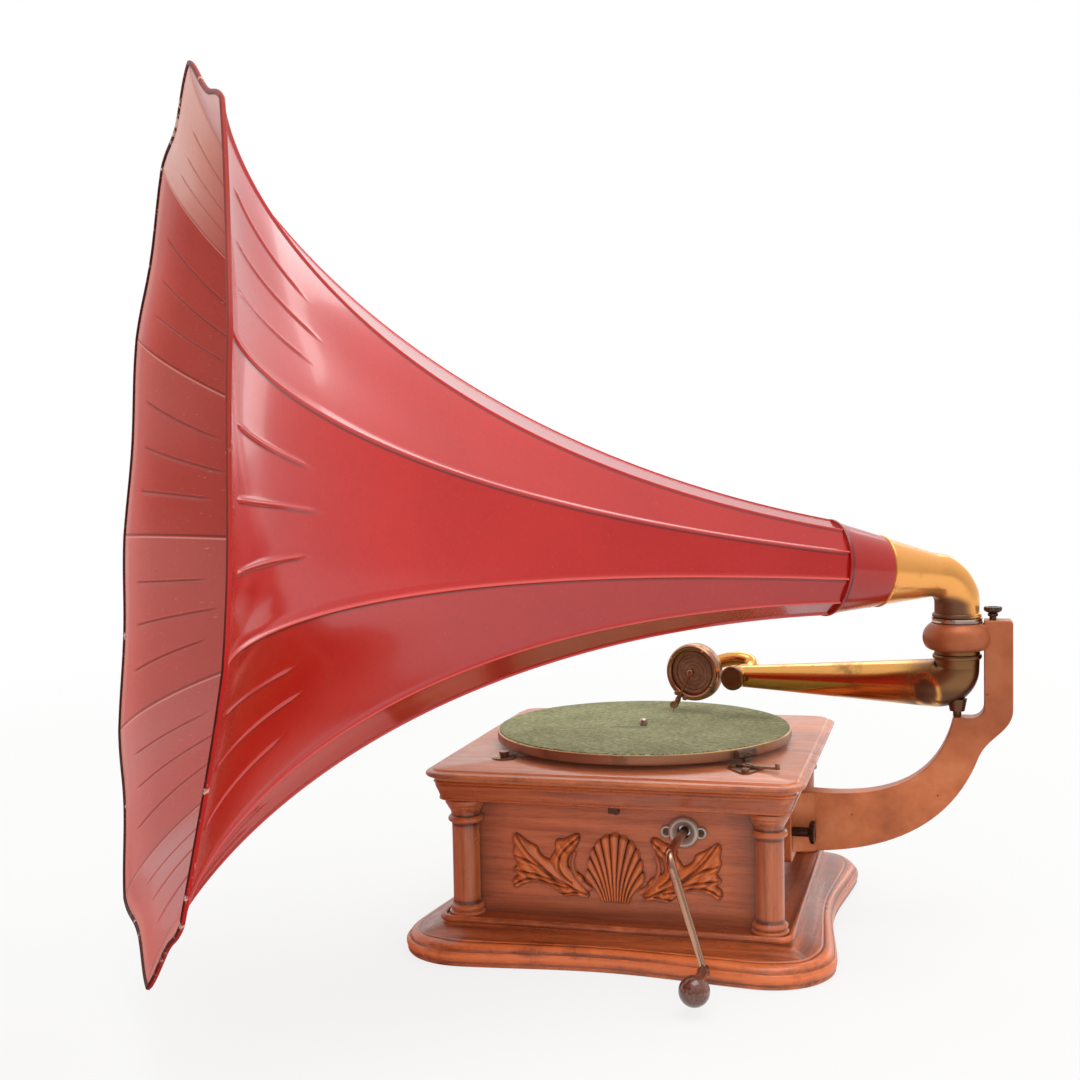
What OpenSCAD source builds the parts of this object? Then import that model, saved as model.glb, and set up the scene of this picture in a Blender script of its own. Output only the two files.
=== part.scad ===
/* [Case] */
// Half width of the flat top of the lid
lid_half = 146; // [142:1:150]
// Thickness of the lid board
lid_t = 9.3; // [8:0.1:11]
// Height of the plinth up to its deck
plinth_h = 28.5; // [26:0.5:32]
// Half width of the plinth across its corner lobes
plinth_half = 175.5; // [170:0.5:180]
// How far the middle of each plinth side is drawn in from the lobes
plinth_dip = 13; // [6:0.5:16]
// Radius of the plinth corners
plinth_corner = 58; // [45:1:65]
// Half width of the square top of the plinth
plinth_top = 143; // [140:0.5:145]
// Half width of the square hole through the plinth
plinth_hole = 100; // [96:1:104]
// Height of the side panels
panel_h = 95.5; // [88:0.5:100]
// Thickness of the side panels
panel_t = 9; // [7:0.5:11]
// Distance from the middle of the case to the outside of a panel
panel_face = 117; // [115:0.5:118]
// Height of the cornice under the lid
cornice_h = 17; // [15:0.5:19]
// Thickness of the bottom board
bottom_t = 7; // [5:0.5:9]
// Radius of a corner column
column_r = 11.5; // [9:0.5:12.5]
// Distance from a panel face out to the axis of a column
column_out = 6.4; // [5:0.2:8]

/* [Carving] */
// Width of the carved shell
shell_w = 49; // [40:1:56]
// Height of the carved shell
shell_h = 57; // [45:1:62]
// Number of ribs in the shell
shell_ribs = 11; // [9:2:15]
// Relief of the carving above the panel
relief = 5; // [3:0.5:7]
// Width of one carved leaf
leaf_w = 58; // [48:1:60]

/* [Turntable] */
// Radius of the platter
platter_r = 127; // [110:1:128]
// Height of the platter's rim
platter_h = 8; // [6:0.5:10]
// Thickness of the platter's plate
platter_t = 1.6; // [1.2:0.1:2.5]
// Gap between the lid and the platter's rim
platter_gap = 4.9; // [3:0.1:8]
// Thickness of the felt on the platter
felt_t = 1.1; // [0.8:0.1:2]
// Radius of the spindle
spindle_r = 3.5; // [3:0.1:4]
// How far the spindle stands above the felt
spindle_rise = 5.6; // [4:0.1:6]

/* [Motor] */
// Depth of the winding shaft under the underside of the motor plate
crank_drop = 35.5; // [34:0.5:37]
// Distance of the winding shaft from the middle of the case
crank_x = 55.5; // [54:0.5:57]
// Distance of the barrel axis behind the turntable axis, negative towards the crank
barrel_y = -8; // [-10:0.5:-6]
// Module of the barrel and winding teeth
barrel_module = 1.5; // [1.4:0.05:1.6]
// Number of teeth on the barrel
barrel_teeth = 60; // [54:1:61]
// Number of teeth on each pinion
pinion_teeth = 12; // [12:1:13]
// Module of the fast train teeth
train_module = 1; // [0.9:0.05:1.05]
// Number of teeth on the intermediate wheel
wheel_teeth = 60; // [54:1:62]
// Number of teeth on the crown wheel
crown_teeth = 32; // [30:1:33]
// Module of the governor drive
worm_module = 0.8; // [0.7:0.05:0.9]
// Number of teeth on the governor drive wheel
governor_teeth = 40; // [36:4:40]
// Number of starts on the governor worm
worm_starts = 4; // [4]
// Radius of the spring barrel's drum
drum_r = 41; // [36:0.5:42]
// Height of the spring barrel's drum
drum_h = 22; // [16:0.5:23]
// Thickness of the motor plates
plate_t = 3; // [2:0.5:4]
// Radius of a motor pillar
pillar_r = 4; // [3:0.5:5]
// Radius of a governor weight
weight_r = 4.5; // [3.5:0.25:5]
// Number of teeth on the ratchet wheel
ratchet_teeth = 32; // [16:16:32]

/* [Crank] */
// Radius of the crank rod where it leaves the case
rod_r = 3.6; // [3:0.1:4]
// Radius of the crank rod at the knob
rod_tip_r = 2.5; // [2:0.1:3]
// Distance from the winding axis to the knob axis
crank_len = 88.6; // [80:0.5:89]
// Angle of the crank arm from straight down, towards the bracket
crank_lean = 17.8; // [0:0.2:30]
// Distance from the panel out to the crank arm
crank_out = 69; // [60:1:75]
// Length of the knob from the arm
knob_len = 56; // [45:1:60]
// Radius of the ball end of the knob
knob_r = 11.4; // [9:0.2:11.6]

/* [Bracket] */
// Distance from the turntable axis to the horn's swivel axis
pivot_x = 263; // [262:0.5:266]
// Height of the underside of the support ring over the lid
ring_over = 84.2; // [81.7:0.5:85.7]
// Height of the support ring
ring_h = 23; // [20:0.5:25]
// Wall of the support ring
ring_wall = 5.2; // [4:0.2:6]
// Thickness of the bracket arm
arm_t = 18; // [14:1:22]
// Height of the arm where it meets its flange
arm_h = 50; // [40:1:54]
// Width of the upright post
post_w = 22.6; // [18:0.2:26]
// Distance from the swivel axis to the inside of the post
post_in = 21.2; // [20.6:0.2:23]
// Height of the shelf under the tone arm over the lid
shelf_over = 29.7; // [25.7:0.5:31.7]

/* [Horn] */
// Angle of the horn at rest from straight ahead, towards the crank side
horn_swing = 34.9; // [0:0.5:60]
// Rise of the horn's axis above level
horn_rise = 6; // [0:0.1:12]
// Height of the horn's axis over the lid, at the swivel
horn_over = 144.8; // [143.7:0.1:149.7]
// Number of petals
petals = 11; // [8:1:12]
// Distance from the swivel to the petals
horn_start = 123; // [118:0.5:128]
// Distance from the swivel to the mouth
horn_end = 633; // [560:1:650]
// Radius of the horn where the petals begin
horn_r0 = 36.9; // [34:0.1:40]
// Radius of the mouth at the petal edge
mouth_r = 298.8; // [250:0.1:305]
// How far the top of the mouth stands forward of its middle
mouth_lean = 5.8; // [0:0.2:12]
// Thickness of the horn's sheet metal
horn_sheet = 0.7; // [0.6:0.1:1.2]
// Height of the folded seams
seam_h = 1.8; // [1:0.1:2.5]
// Radius of the wire in the rim
wire_r = 1.6; // [1.2:0.1:2.2]
// Radius of the brass elbow at its foot
elbow_r = 18; // [17:0.1:18.1]
// Radius of the brass elbow where the horn fits
elbow_end_r = 28; // [27:0.1:30]
// Distance from the swivel to the end of the brass elbow
elbow_end = 76; // [70:0.5:82]

/* [Tone arm] */
// Angle of the tone arm at rest from straight ahead, away from the crank side
arm_swing = 17; // [10:0.5:22]
// Downward slope of the tone arm
arm_slope = 2; // [0:0.1:3]
// Radius of the tone arm's neck in the ring
neck_r = 18.15; // [17:0.05:18.5]
// Wall of the brass tubes
tube_wall = 1.8; // [1:0.1:2]
// Height of the tone arm's axis over the lid, at the swivel
arm_over = 56; // [54.7:0.1:57.7]
// Distance from the swivel to the cross tube
cross_x = 196; // [190:0.5:198]
// Radius of the cross tube
cross_r = 9.8; // [9:0.1:10.5]
// Radius of the crook
crook_r = 6.4; // [5.5:0.1:6.8]
// Distance from the swivel to the middle of the sound box
box_x = 240.6; // [240:0.1:242]
// Height of the middle of the sound box over the lid
box_over = 50.7; // [50.2:0.1:51.7]
// Radius of the sound box
box_r = 26; // [24:0.2:27]
// Thickness of the sound box
box_t = 14; // [12:0.5:16]
// Angle of the stylus bar from level
stylus_angle = 63; // [62:0.5:66]
// Distance from the middle of the sound box to the needle's point
needle_reach = 40.6; // [40:0.1:40.8]

/* [Fits] */
// Radial clearance of a running fit
run = 0.06; // [0.03:0.01:0.08]
// Clearance between pieces that pass close by
gap = 0.35; // [0.3:0.05:0.6]

/* [Hidden] */
$fn = 64;
cornice_z = plinth_h + panel_h;
lid_z = cornice_z + cornice_h;
lid_top = lid_z + lid_t;
rim_z = lid_top + platter_gap;
felt_z = rim_z + platter_h;
play_z = felt_z + felt_t;
ring_z = lid_top + ring_over;
shelf_z = lid_top + shelf_over;
horn_z = lid_top + horn_over;
arm_z = lid_top + arm_over;
box_z = lid_top + box_over;
rebate_z = bottom_t + 0.6;
rebate_w = 8;
corner_c = lid_half - 14;
column_c = panel_face + column_out;
panel_in = panel_face - panel_t;
motor_z = lid_z - plate_t;
crank_z = motor_z - crank_drop;
base_z = motor_z - 94;
barrel_r = barrel_module * barrel_teeth / 2;
pinion_r = barrel_module * pinion_teeth / 2;
train_pinion_r = train_module * pinion_teeth / 2;
wheel_r = train_module * wheel_teeth / 2;
crown_r = barrel_module * crown_teeth / 2;
worm_wheel_r = worm_module * governor_teeth / 2;
worm_r = 4.2;
governor_z = motor_z - 20;
governor_x = -worm_wheel_r - worm_r;
wheel_far = wheel_r + train_pinion_r;
wheel_near = barrel_r + pinion_r;
barrel_far = norm([crank_x, barrel_y]);
wheel_turn = acos((wheel_far * wheel_far + barrel_far * barrel_far - wheel_near * wheel_near)
    / (2 * wheel_far * barrel_far));
wheel_angle = atan2(barrel_y, crank_x) + wheel_turn;
wheel_x = wheel_far * cos(wheel_angle);
wheel_y = wheel_far * sin(wheel_angle);
wheel_z = base_z + plate_t + 3;
wheel_t = 3;
drum_z = wheel_z + wheel_t + 3;
ring_bore = neck_r + run;
ring_top = ring_z + ring_h;
ring_out = ring_bore + ring_wall;
post_x = pivot_x + post_in;
post_out = post_x + post_w;
flange_x = panel_face + 13;
arm_root_z = 63;
collar_t = 4;
elbow_z = ring_top + gap + collar_t;
bend_r = 24;
box_out = box_t / 2;

// Point at t on the curve with control points a, b, c and d
function bez(a, b, c, d, t) = a * pow(1 - t, 3) + 3 * b * t * pow(1 - t, 2)
    + 3 * c * t * t * (1 - t) + d * pow(t, 3);
function curve(a, b, c, d, n) = [for (i = [0 : n]) bez(a, b, c, d, i / n)];
function unit(v) = v / norm(v);
// Two triangles over the corners a, b, c and d
function quad(a, b, c, d) = [[a, b, c], [a, c, d]];
function flat(list) = [for (a = list) for (b = a) b];
// Angle folded into one eighth of a turn
function eighth(a) = let (q = abs(((a % 90) + 90) % 90)) min(q, 90 - q);
// Distance from the centre to a square of half width w with corners of radius r, at angle a
function square_at(w, r, a) = let (f = eighth(a), c = w - r)
    w * tan(f) <= c ? w / cos(f)
    : c * (cos(f) + sin(f)) + sqrt(r * r - pow(c * (cos(f) - sin(f)), 2));
// Distance from the centre to the lobed edge of the plinth at angle a
function lobed_at(a) = square_at(plinth_half, plinth_corner, a)
    - plinth_dip * pow(1 - min(1, pow(tan(eighth(a)) / 0.85, 2)), 2);

// Faces of a grid of n rings by m points that closes both ways
function loop_faces(n, m) = flat([for (i = [0 : n - 1]) for (j = [0 : m - 1])
    let (i2 = (i + 1) % n, j2 = (j + 1) % m)
    quad(i * m + j, i2 * m + j, i2 * m + j2, i * m + j2)]);
// Faces of a curved slab: n by m points outside, then as many inside
function slab_faces(n, m) = let (k = n * m) concat(
    flat([for (i = [0 : n - 2]) for (j = [0 : m - 2]) let (a = i * m + j)
        concat(quad(a, a + m, a + m + 1, a + 1), quad(k + a, k + a + 1, k + a + m + 1, k + a + m))]),
    flat([for (i = [0 : n - 2]) let (a = i * m, b = i * m + m - 1)
        concat(quad(a, k + a, k + a + m, a + m), quad(b, b + m, k + b + m, k + b))]),
    flat([for (j = [0 : m - 2]) let (a = j, b = (n - 1) * m + j)
        concat(quad(a, a + 1, k + a + 1, k + a), quad(b, k + b, k + b + 1, b + 1))]));

// Tube along path with a radius at each point; wall 0 makes it solid. side is never along the path
module tube(path, radii, wall, side, m = 20) {
    n = len(path);
    function along(i) = unit(path[min(i + 1, n - 1)] - path[max(i - 1, 0)]);
    function ring(i, r) = let (t = along(i), u = unit(side - (side * t) * t), v = cross(t, u))
        [for (j = [0 : m - 1]) path[i] + r * (cos(360 * j / m) * u + sin(360 * j / m) * v)];
    outside = flat([for (i = [0 : n - 1]) ring(i, radii[i])]);
    skin = flat([for (i = [0 : n - 2]) for (j = [0 : m - 1]) let (a = i * m, j2 = (j + 1) % m)
        quad(a + j, a + m + j, a + m + j2, a + j2)]);
    if (wall == 0) {
        ends = concat([path[0]], [path[n - 1]]);
        k = n * m;
        polyhedron(concat(outside, ends), concat(skin,
            [for (j = [0 : m - 1]) [k, j, (j + 1) % m]],
            [for (j = [0 : m - 1]) [k + 1, k - m + (j + 1) % m, k - m + j]]));
    } else {
        inside = flat([for (i = [0 : n - 1]) ring(i, radii[i] - wall)]);
        k = n * m;
        lining = [for (f = skin) [f[0] + k, f[2] + k, f[1] + k]];
        rims = flat([for (j = [0 : m - 1]) let (j2 = (j + 1) % m, e = k - m)
            concat(quad(j, j2, k + j2, k + j), quad(e + j, k + e + j, k + e + j2, e + j2))]);
        polyhedron(concat(outside, inside), concat(skin, lining, rims));
    }
}

// Moulded square board: straight runs and turned corners of one profile, given as [out, height]
module moulded(profile, z0, z1) {
    full = concat([[0, z0]], profile, [[0, z1]]);
    wide = concat([for (p = profile) [corner_c + p[0], p[1]]],
        [for (i = [len(profile) - 1 : -1 : 0]) [-corner_c - profile[i][0], profile[i][1]]]);
    for (x = [-1, 1]) for (y = [-1, 1]) translate([x * corner_c, y * corner_c, 0])
        rotate_extrude() polygon(full);
    for (a = [0, 90]) rotate([90, 0, a]) translate([0, 0, -corner_c])
        linear_extrude(2 * corner_c) polygon(wide);
}

module at_corners(d) { for (x = [-1, 1]) for (y = [-1, 1]) translate([x * d, y * d, 0]) children(); }
module ring_of(ro, ri, h) { difference() { cylinder(r = ro, h = h); translate([0, 0, -1])
    cylinder(r = ri, h = h + 2); } }
// Slotted screw head with its shank going down
module screw(r, h, shank_r, shank_l) {
    difference() {
        cylinder(r = r, h = h);
        translate([-r, -r * 0.14, h * 0.6]) cube([2 * r, r * 0.28, h]);
    }
    translate([0, 0, -shank_l]) cylinder(r = shank_r, h = shank_l);
}

// Involute angle at radius r of a gear with base radius b
function inv(b, r) = r <= b ? 0 : let (c = acos(b / r)) tan(c) * 180 / PI - c;
// Outline of a spur gear: half a tooth is thinned by slack for backlash
function gear_points(m, n, slack = 0.16) = let (r = m * n / 2, b = r * cos(20),
    root = r - 1.2 * m, tip = r + 0.95 * m, half = 90 / n - slack / r * 90 / PI,
    turn = function (x) half + inv(b, r) - inv(b, x))
    flat([for (i = [0 : n - 1]) let (c = 360 * i / n)
        [for (p = [[root, -turn(b + 0.01)], [max(b, root + 0.05), -turn(b + 0.01)], [r, -turn(r)],
            [tip, -turn(tip)], [tip, turn(tip)], [r, turn(r)], [max(b, root + 0.05), turn(b + 0.01)],
            [root, turn(b + 0.01)]]) p[0] * [cos(c + p[1]), sin(c + p[1])]]]);
module gear(m, n, h, bore, turned = 0) {
    difference() {
        rotate([0, 0, turned]) linear_extrude(h) polygon(gear_points(m, n));
        translate([0, 0, -1]) cylinder(r = bore, h = h + 2);
    }
}

// Frames of the three things that aim at the record or the room
module horn_frame() { translate([pivot_x, 0, horn_z]) rotate([0, 0, 180 + horn_swing])
    rotate([0, -horn_rise, 0]) children(); }
module arm_frame() { translate([pivot_x, 0, 0]) rotate([0, 0, 180 - arm_swing]) children(); }
module box_frame() { arm_frame() translate([box_x, 0, box_z]) rotate([-90, 0, 0]) children(); }

// Case
module plinth() {
    m = 56;
    w = plinth_top;
    corner_r = 10;
    // Moulding: share of the lobed edge, height, and half width of the square inside
    moulding = [[0.94, 0, w], [1, 2.4, w], [0.985, 5, w], [0.9, 6.8, w], [0.93, 7.8, w],
        [0.985, 9.5, w], [0.98, 12, w], [0.86, 14.8, w], [0.66, 17.2, w], [0.5, 18, w],
        [0.46, 20, w], [0.28, 22.2, w - 1], [0, 24.2, w - 2.5], [0, 25.4, w - 2.4],
        [0, 26.6, w - 0.4], [0, 28.6, w], [0, 30.4, w - 0.8], [0, 31.1, w - 2.3], [0, 30.4, w - 4],
        [0, plinth_h, w - 4.4]];
    // Hole for the case, with a rebate under it for the bottom board
    hole = [[0, plinth_h, plinth_hole], [0, rebate_z, plinth_hole],
        [0, rebate_z, plinth_hole + rebate_w], [0, 0, plinth_hole + rebate_w]];
    // Ring of the net at height z; an inside edge keeps nearly sharp corners
    function ring(r, round) = [for (j = [0 : m - 1]) let (a = 360 * j / m,
        d = (1 - r[0]) * square_at(r[2], round, a) + r[0] * lobed_at(a))
        [d * cos(a), d * sin(a), r[1]]];
    color("sienna") polyhedron(concat(flat([for (r = moulding) ring(r, r[2] - w + corner_r)]),
        flat([for (r = hole) ring(r, 0.2)])), loop_faces(len(moulding) + len(hole), m));
}
module bottom_board() {
    w = plinth_hole + rebate_w - gap;
    color("peru") difference() {
        translate([-w, -w, 0]) cube([2 * w, 2 * w, rebate_z]);
        at_corners(plinth_hole + 2) {
            cylinder(r = 1.4 + run, h = bottom_t - 2);
            translate([0, 0, -1]) cylinder(r = 3 + gap, h = 1.7);
        }
    }
}
module panel(len_half) { translate([-len_half, -panel_face, plinth_h])
    cube([2 * len_half, panel_t, panel_h]); }
module crank_side_panel() {
    color("sienna") difference() {
        panel(panel_face);
        translate([crank_x, -panel_in + 1, crank_z]) rotate([90, 0, 0]) cylinder(r = 8, h = panel_t + 2);
    }
}
module far_side_panel() { color("sienna") rotate([0, 0, 180]) panel(panel_face); }
module horn_side_panel() { color("sienna") rotate([0, 0, -90]) panel(panel_in); }
module bracket_side_panel() { color("sienna") rotate([0, 0, 90]) panel(panel_in); }
module corner_columns() {
    h = panel_h;
    r = column_r;
    // Turned outline of a column: base ring, shaft, necking ring and spreading capital
    outline = [[0, 0], [r + 2.1, 0], [r + 2.5, 2], [r + 2, 4.6], [r + 0.6, 5.6], [r + 0.2, 7.5],
        [r, 12], [r, h - 23], [r + 0.4, h - 20.4], [r + 2, h - 19.6], [r + 2.6, h - 17.6],
        [r + 1.8, h - 15.6], [r + 0.4, h - 15], [r + 0.6, h - 13], [r + 1.6, h - 10.6],
        [r + 3.2, h - 9.6], [r + 3.6, h - 7.6], [r + 3, h - 6.4], [r + 4.4, h - 4.6],
        [r + 5, h - 2.4], [r + 4.6, h], [0, h]];
    color("sienna") for (a = [0 : 90 : 270]) rotate([0, 0, a]) difference() {
        translate([column_c, column_c, plinth_h]) rotate_extrude() polygon(outline);
        translate([0, 0, plinth_h - 1]) cube([panel_face, panel_face, h + 2]);
    }
}
module cornice() {
    z = cornice_z;
    h = cornice_h;
    color("sienna") difference() {
        moulded([[7.6, z], [9.6, z + 0.6], [10.2, z + 1.8], [9.4, z + 3], [9.8, z + 4.4], [11, z + 7.5],
            [12.6, z + 10.6], [13.4, z + h - 4], [12.8, z + h - 3.2], [14.4, z + h - 2.2],
            [14.6, z + h - 1.2], [13.4, z + h]], z, z + h);
        translate([-panel_in, -panel_in, z - 1]) cube([2 * panel_in, 2 * panel_in, h + 2]);
    }
}
module lid_board() {
    z = lid_z;
    t = lid_t;
    color("sienna") difference() {
        moulded([[13.6, z], [14.8, z + 1.6], [17.4, z + 2.4], [20, z + 3.4], [20.9, z + 5],
            [20.2, z + 6.6], [18.2, z + 7.4], [16.4, z + 7.4], [15, z + 8], [14.2, z + t - 0.4],
            [13.6, z + t]], z, z + t);
        translate([0, 0, z - 1]) cylinder(r = 12, h = t + 2);
        translate([dial_x, dial_y, z - 1]) cylinder(r = 4, h = t + 2);
    }
}
module carved_shell() {
    steps = 4;
    n = shell_ribs * steps + 1;
    m = 7;
    // Point on the shell: across from -1 to 1, up from 0 to 1
    function spot(a, t) = let (e = [shell_w / 2 * sin(125 * a), shell_h * (0.57 + 0.43 * cos(125 * a))],
        b = [shell_w * 0.1 * a, 0], c = [0.18 * e[0], 0.5 * e[1] + 7])
        b * pow(1 - t, 2) + 2 * c * t * (1 - t) + e * t * t;
    function height(i, t) = let (w = i % steps, rib = w == 0 ? 0 : w == 2 ? 1 : 0.75)
        relief * (0.45 + 0.25 * sin(180 * t)) + rib * relief * 0.3 * min(1, 3 * t) - 0.25 * relief * t;
    top = flat([for (i = [0 : n - 1]) [for (j = [0 : m - 1]) let (t = 0.04 + 0.96 * j / (m - 1),
        p = spot(2 * i / (n - 1) - 1, t)) [p[0], -height(i, t), p[1]]]]);
    back = [for (p = top) [p[0], 0, p[2]]];
    color("chocolate") translate([0, -panel_face, crank_z - 60.3])
        polyhedron(concat(top, back), slab_faces(n, m));
}
// One carved frond from p to q, bending through c, in the plane of the panel
module frond(p, c, q, w, h) {
    n = 9;
    rows = [for (i = [0 : n - 1]) let (t = i / (n - 1), s = p * pow(1 - t, 2) + 2 * c * t * (1 - t)
        + q * t * t, d = unit((c - p) * (1 - t) + (q - c) * t), side = [-d[1], d[0]],
        k = w / 2 * (0.35 + 0.65 * sin(180 * min(1, 0.15 + t * 0.8))) * (t > 0.95 ? 0.25 : 1))
        [for (e = [[-1, 0.35], [-0.55, 0.8], [0, 1], [0.55, 0.75], [1, 0.35]])
            [s[0] + side[0] * k * e[0], -h * e[1] * (1 - 0.35 * t), s[1] + side[1] * k * e[0]]]];
    top = flat(rows);
    polyhedron(concat(top, [for (v = top) [v[0], 0, v[2]]]),
        [for (f = slab_faces(n, 5)) [f[0], f[2], f[1]]]);
}
module carved_leaf() {
    u = leaf_w / 58;
    frond([24, 12] * u, [42, 16] * u, [83, 54] * u, 15, relief);
    frond([44, 24] * u, [50, 40] * u, [56, 55] * u, 12, relief * 0.8);
    frond([30, 12] * u, [60, 8] * u, [84, 10] * u, 12, relief * 0.9);
    frond([50, 22] * u, [66, 24] * u, [83, 24] * u, 12, relief * 0.85);
    frond([26, 14] * u, [30, 26] * u, [33, 50] * u, 9, relief * 0.7);
}
module carved_leaves() {
    color("chocolate") translate([0, -panel_face, crank_z - 60.3]) {
        mirror([1, 0, 0]) carved_leaf();
        difference() {
            carved_leaf();
            translate([crank_x, 5, 60.3]) rotate([90, 0, 0]) cylinder(r = 13.4 + gap, h = 20);
            for (x = [-1, 1]) translate([crank_x + x * ear_x, 5, 60.3])
                rotate([90, 0, 0]) cylinder(r = ear_r + gap, h = 20);
        }
    }
}
module lid_catch() {
    color("goldenrod") translate([0, -panel_face, cornice_z - 7.5]) rotate([90, 0, 0]) {
        translate([-5.5, -2.5, 0]) cube([7, 5, 1]);
        translate([1.5, 0, 0]) cylinder(r = 2.8, h = 2.6);
    }
}
module case_screws() {
    color("dimgray") {
        at_corners(plinth_hole + 2) translate([0, 0, 0.7]) rotate([180, 0, 0])
            screw(3, 0.5, 1.4, bottom_t - 3);
        for (p = pillar_spots) translate([p[0], p[1], motor_z]) rotate([180, 0, 0])
            translate([0, 0, 0.01]) ring_of(pillar_r + 1.6, pillar_r + 0.1, 1.4);
    }
}

// Motor frame
pillar_spots = [[-54, -58], [-54, 54], [92, 50], [92, -58]];
plate_box = [-66, -70, 170, 136];
module plate(z, t, holes) {
    difference() {
        translate([plate_box[0], plate_box[1], z]) cube([plate_box[2], plate_box[3], t]);
        for (h = holes) translate([h[0], h[1], z - 1]) cylinder(r = h[2], h = t + 2);
    }
}
bearing_r = 3;
module motor_plate() {
    color("dimgray") translate([lever_pivot[0] - 8, lever_pivot[1] - 8, motor_z])
        cube([16, 20, plate_t]);
    color("dimgray") plate(motor_z, plate_t, [[0, 0, spindle_r + 1 + run], [crank_x, barrel_y, 4 + run],
        [wheel_x, wheel_y, bearing_r + run]]);
}
module motor_base_plate() {
    color("dimgray") plate(base_z, plate_t, [[0, 0, spindle_r + run], [crank_x, barrel_y, 4 + run],
        [wheel_x, wheel_y, bearing_r + run]]);
}
module motor_pillars() {
    color("silver") for (p = pillar_spots) translate([p[0], p[1], base_z + plate_t])
        cylinder(r = pillar_r, h = motor_z - base_z - plate_t);
    // Stud that the pawl turns on
    color("silver") translate([crank_x + 19.95, barrel_y - 13.2, base_z + plate_t]) {
        cylinder(r = 1.5, h = 5.6);
        translate([0, 0, 4.7 + gap]) cylinder(r = 2.4, h = 1);
    }
    // Stud that the speed lever turns on
    color("silver") translate([lever_pivot[0], lever_pivot[1], 0]) {
        translate([0, 0, lever_z - gap - 1]) cylinder(r = 2, h = motor_z - lever_z + gap + 1);
        translate([0, 0, lever_z - gap - 1.4]) cylinder(r = 3.4, h = 1.4);
    }
}
module winding_bearing() {
    color("dimgray") difference() {
        union() for (y = [-96, -50]) translate([crank_x - 12, y, crank_z - 10])
            cube([24, 6, motor_z - crank_z + 10]);
        translate([crank_x, -40, crank_z]) rotate([90, 0, 0]) cylinder(r = 5 + run, h = 70);
        for (y = [-98, -52]) translate([crank_x - 13, y, motor_z]) cube([26, 10, 5]);
    }
}
module governor_bearings() {
    color("dimgray") difference() {
        union() for (y = [-64, 18]) translate([governor_x - 5, y, governor_z - 6])
            cube([10, 5, motor_z - governor_z + 6]);
        translate([governor_x, 30, governor_z]) rotate([90, 0, 0]) cylinder(r = 2 + run, h = 100);
    }
}

// Turntable
module turntable_platter() {
    z = felt_z;
    color("peru") difference() {
        union() {
            translate([0, 0, z - platter_t]) cylinder(r = platter_r, h = platter_t, $fn = 128);
            translate([0, 0, rim_z]) ring_of(platter_r, platter_r - 2.4, platter_h);
            translate([0, 0, rim_z - 2]) cylinder(r = 11, h = z - rim_z + 1);
        }
        translate([0, 0, rim_z - 5]) cylinder(r = spindle_r + 1, h = 30);
    }
}
module turntable_felt() {
    color("darkolivegreen") translate([0, 0, felt_z])
        ring_of(platter_r - 1.6, spindle_r + 1 + gap, felt_t);
}
module spindle() {
    top = play_z + spindle_rise;
    color("silver") rotate_extrude() polygon([[0, base_z], [spindle_r, base_z],
        [spindle_r, base_z + plate_t + 1], [spindle_r + 1, base_z + plate_t + 1],
        [spindle_r + 1, play_z - 0.2], [spindle_r, play_z - 0.2], [spindle_r, top - 1.6],
        [spindle_r - 1.3, top], [0, top]]);
}
module spindle_pinion() {
    color("goldenrod") translate([0, 0, wheel_z - 1])
        gear(train_module, pinion_teeth, wheel_t + 2, spindle_r + 1);
}
worm_lead = worm_starts * PI * worm_module;
lead_angle = atan(worm_lead / (2 * PI * worm_r));
module governor_drive_wheel() {
    t = 3;
    tip = worm_wheel_r + worm_module * 0.75;
    root = worm_wheel_r - worm_module * 1.1;
    p = 360 / governor_teeth;
    twist = t * tan(lead_angle) / worm_wheel_r * 180 / PI;
    color("goldenrod") difference() {
        union() {
            translate([0, 0, governor_z - t / 2]) rotate([0, 0, 180 - twist / 2])
                linear_extrude(t, twist = -twist, slices = 2)
                polygon(flat([for (i = [0 : governor_teeth - 1])
                    [for (q = [[root, -0.3], [tip, -0.14], [tip, 0.14], [root, 0.3]])
                    q[0] * [cos(p * (i + q[1])), sin(p * (i + q[1]))]]]));
            translate([0, 0, governor_z - 5]) cylinder(r = 8, h = 10);
        }
        translate([0, 0, governor_z - 6]) cylinder(r = spindle_r + 1, h = 12);
    }
}

// Intermediate arbor between the barrel and the spindle
wheel_phase = wheel_angle + (wheel_teeth % 2 == 0 ? 180 / wheel_teeth : 0);
module intermediate_wheel() {
    color("goldenrod") translate([wheel_x, wheel_y, wheel_z])
        gear(train_module, wheel_teeth, wheel_t, 4, train_mesh);
}
// Turn that puts a tooth gap of the wheel over the spindle pinion's tooth
train_mesh = let (facing = wheel_angle + 180, step = 360 / wheel_teeth, own = 360 / pinion_teeth,
    near = wheel_angle - own * round(wheel_angle / own))
    facing + step / 2 + near * pinion_teeth / wheel_teeth;
barrel_facing = atan2(wheel_y - barrel_y, wheel_x - crank_x);
barrel_mesh = let (step = 360 / pinion_teeth) barrel_facing + 180 + step / 2
    + (barrel_facing - 360 / barrel_teeth * round(barrel_facing * barrel_teeth / 360))
    * barrel_teeth / pinion_teeth;
module intermediate_arbor() {
    top = motor_z + plate_t;
    color("silver") translate([wheel_x, wheel_y, 0]) {
        translate([0, 0, base_z]) cylinder(r = bearing_r, h = top - base_z - 0.5);
        difference() {
            translate([0, 0, wheel_z - 1]) cylinder(r = 4, h = wheel_t + 1.6);
            translate([0, 0, wheel_z - 2]) cylinder(r = bearing_r - 0.5, h = 8);
        }
        translate([0, 0, drum_z - 0.6]) linear_extrude(6.2)
            rotate([0, 0, barrel_mesh]) polygon(gear_points(barrel_module, pinion_teeth));
    }
}

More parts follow.
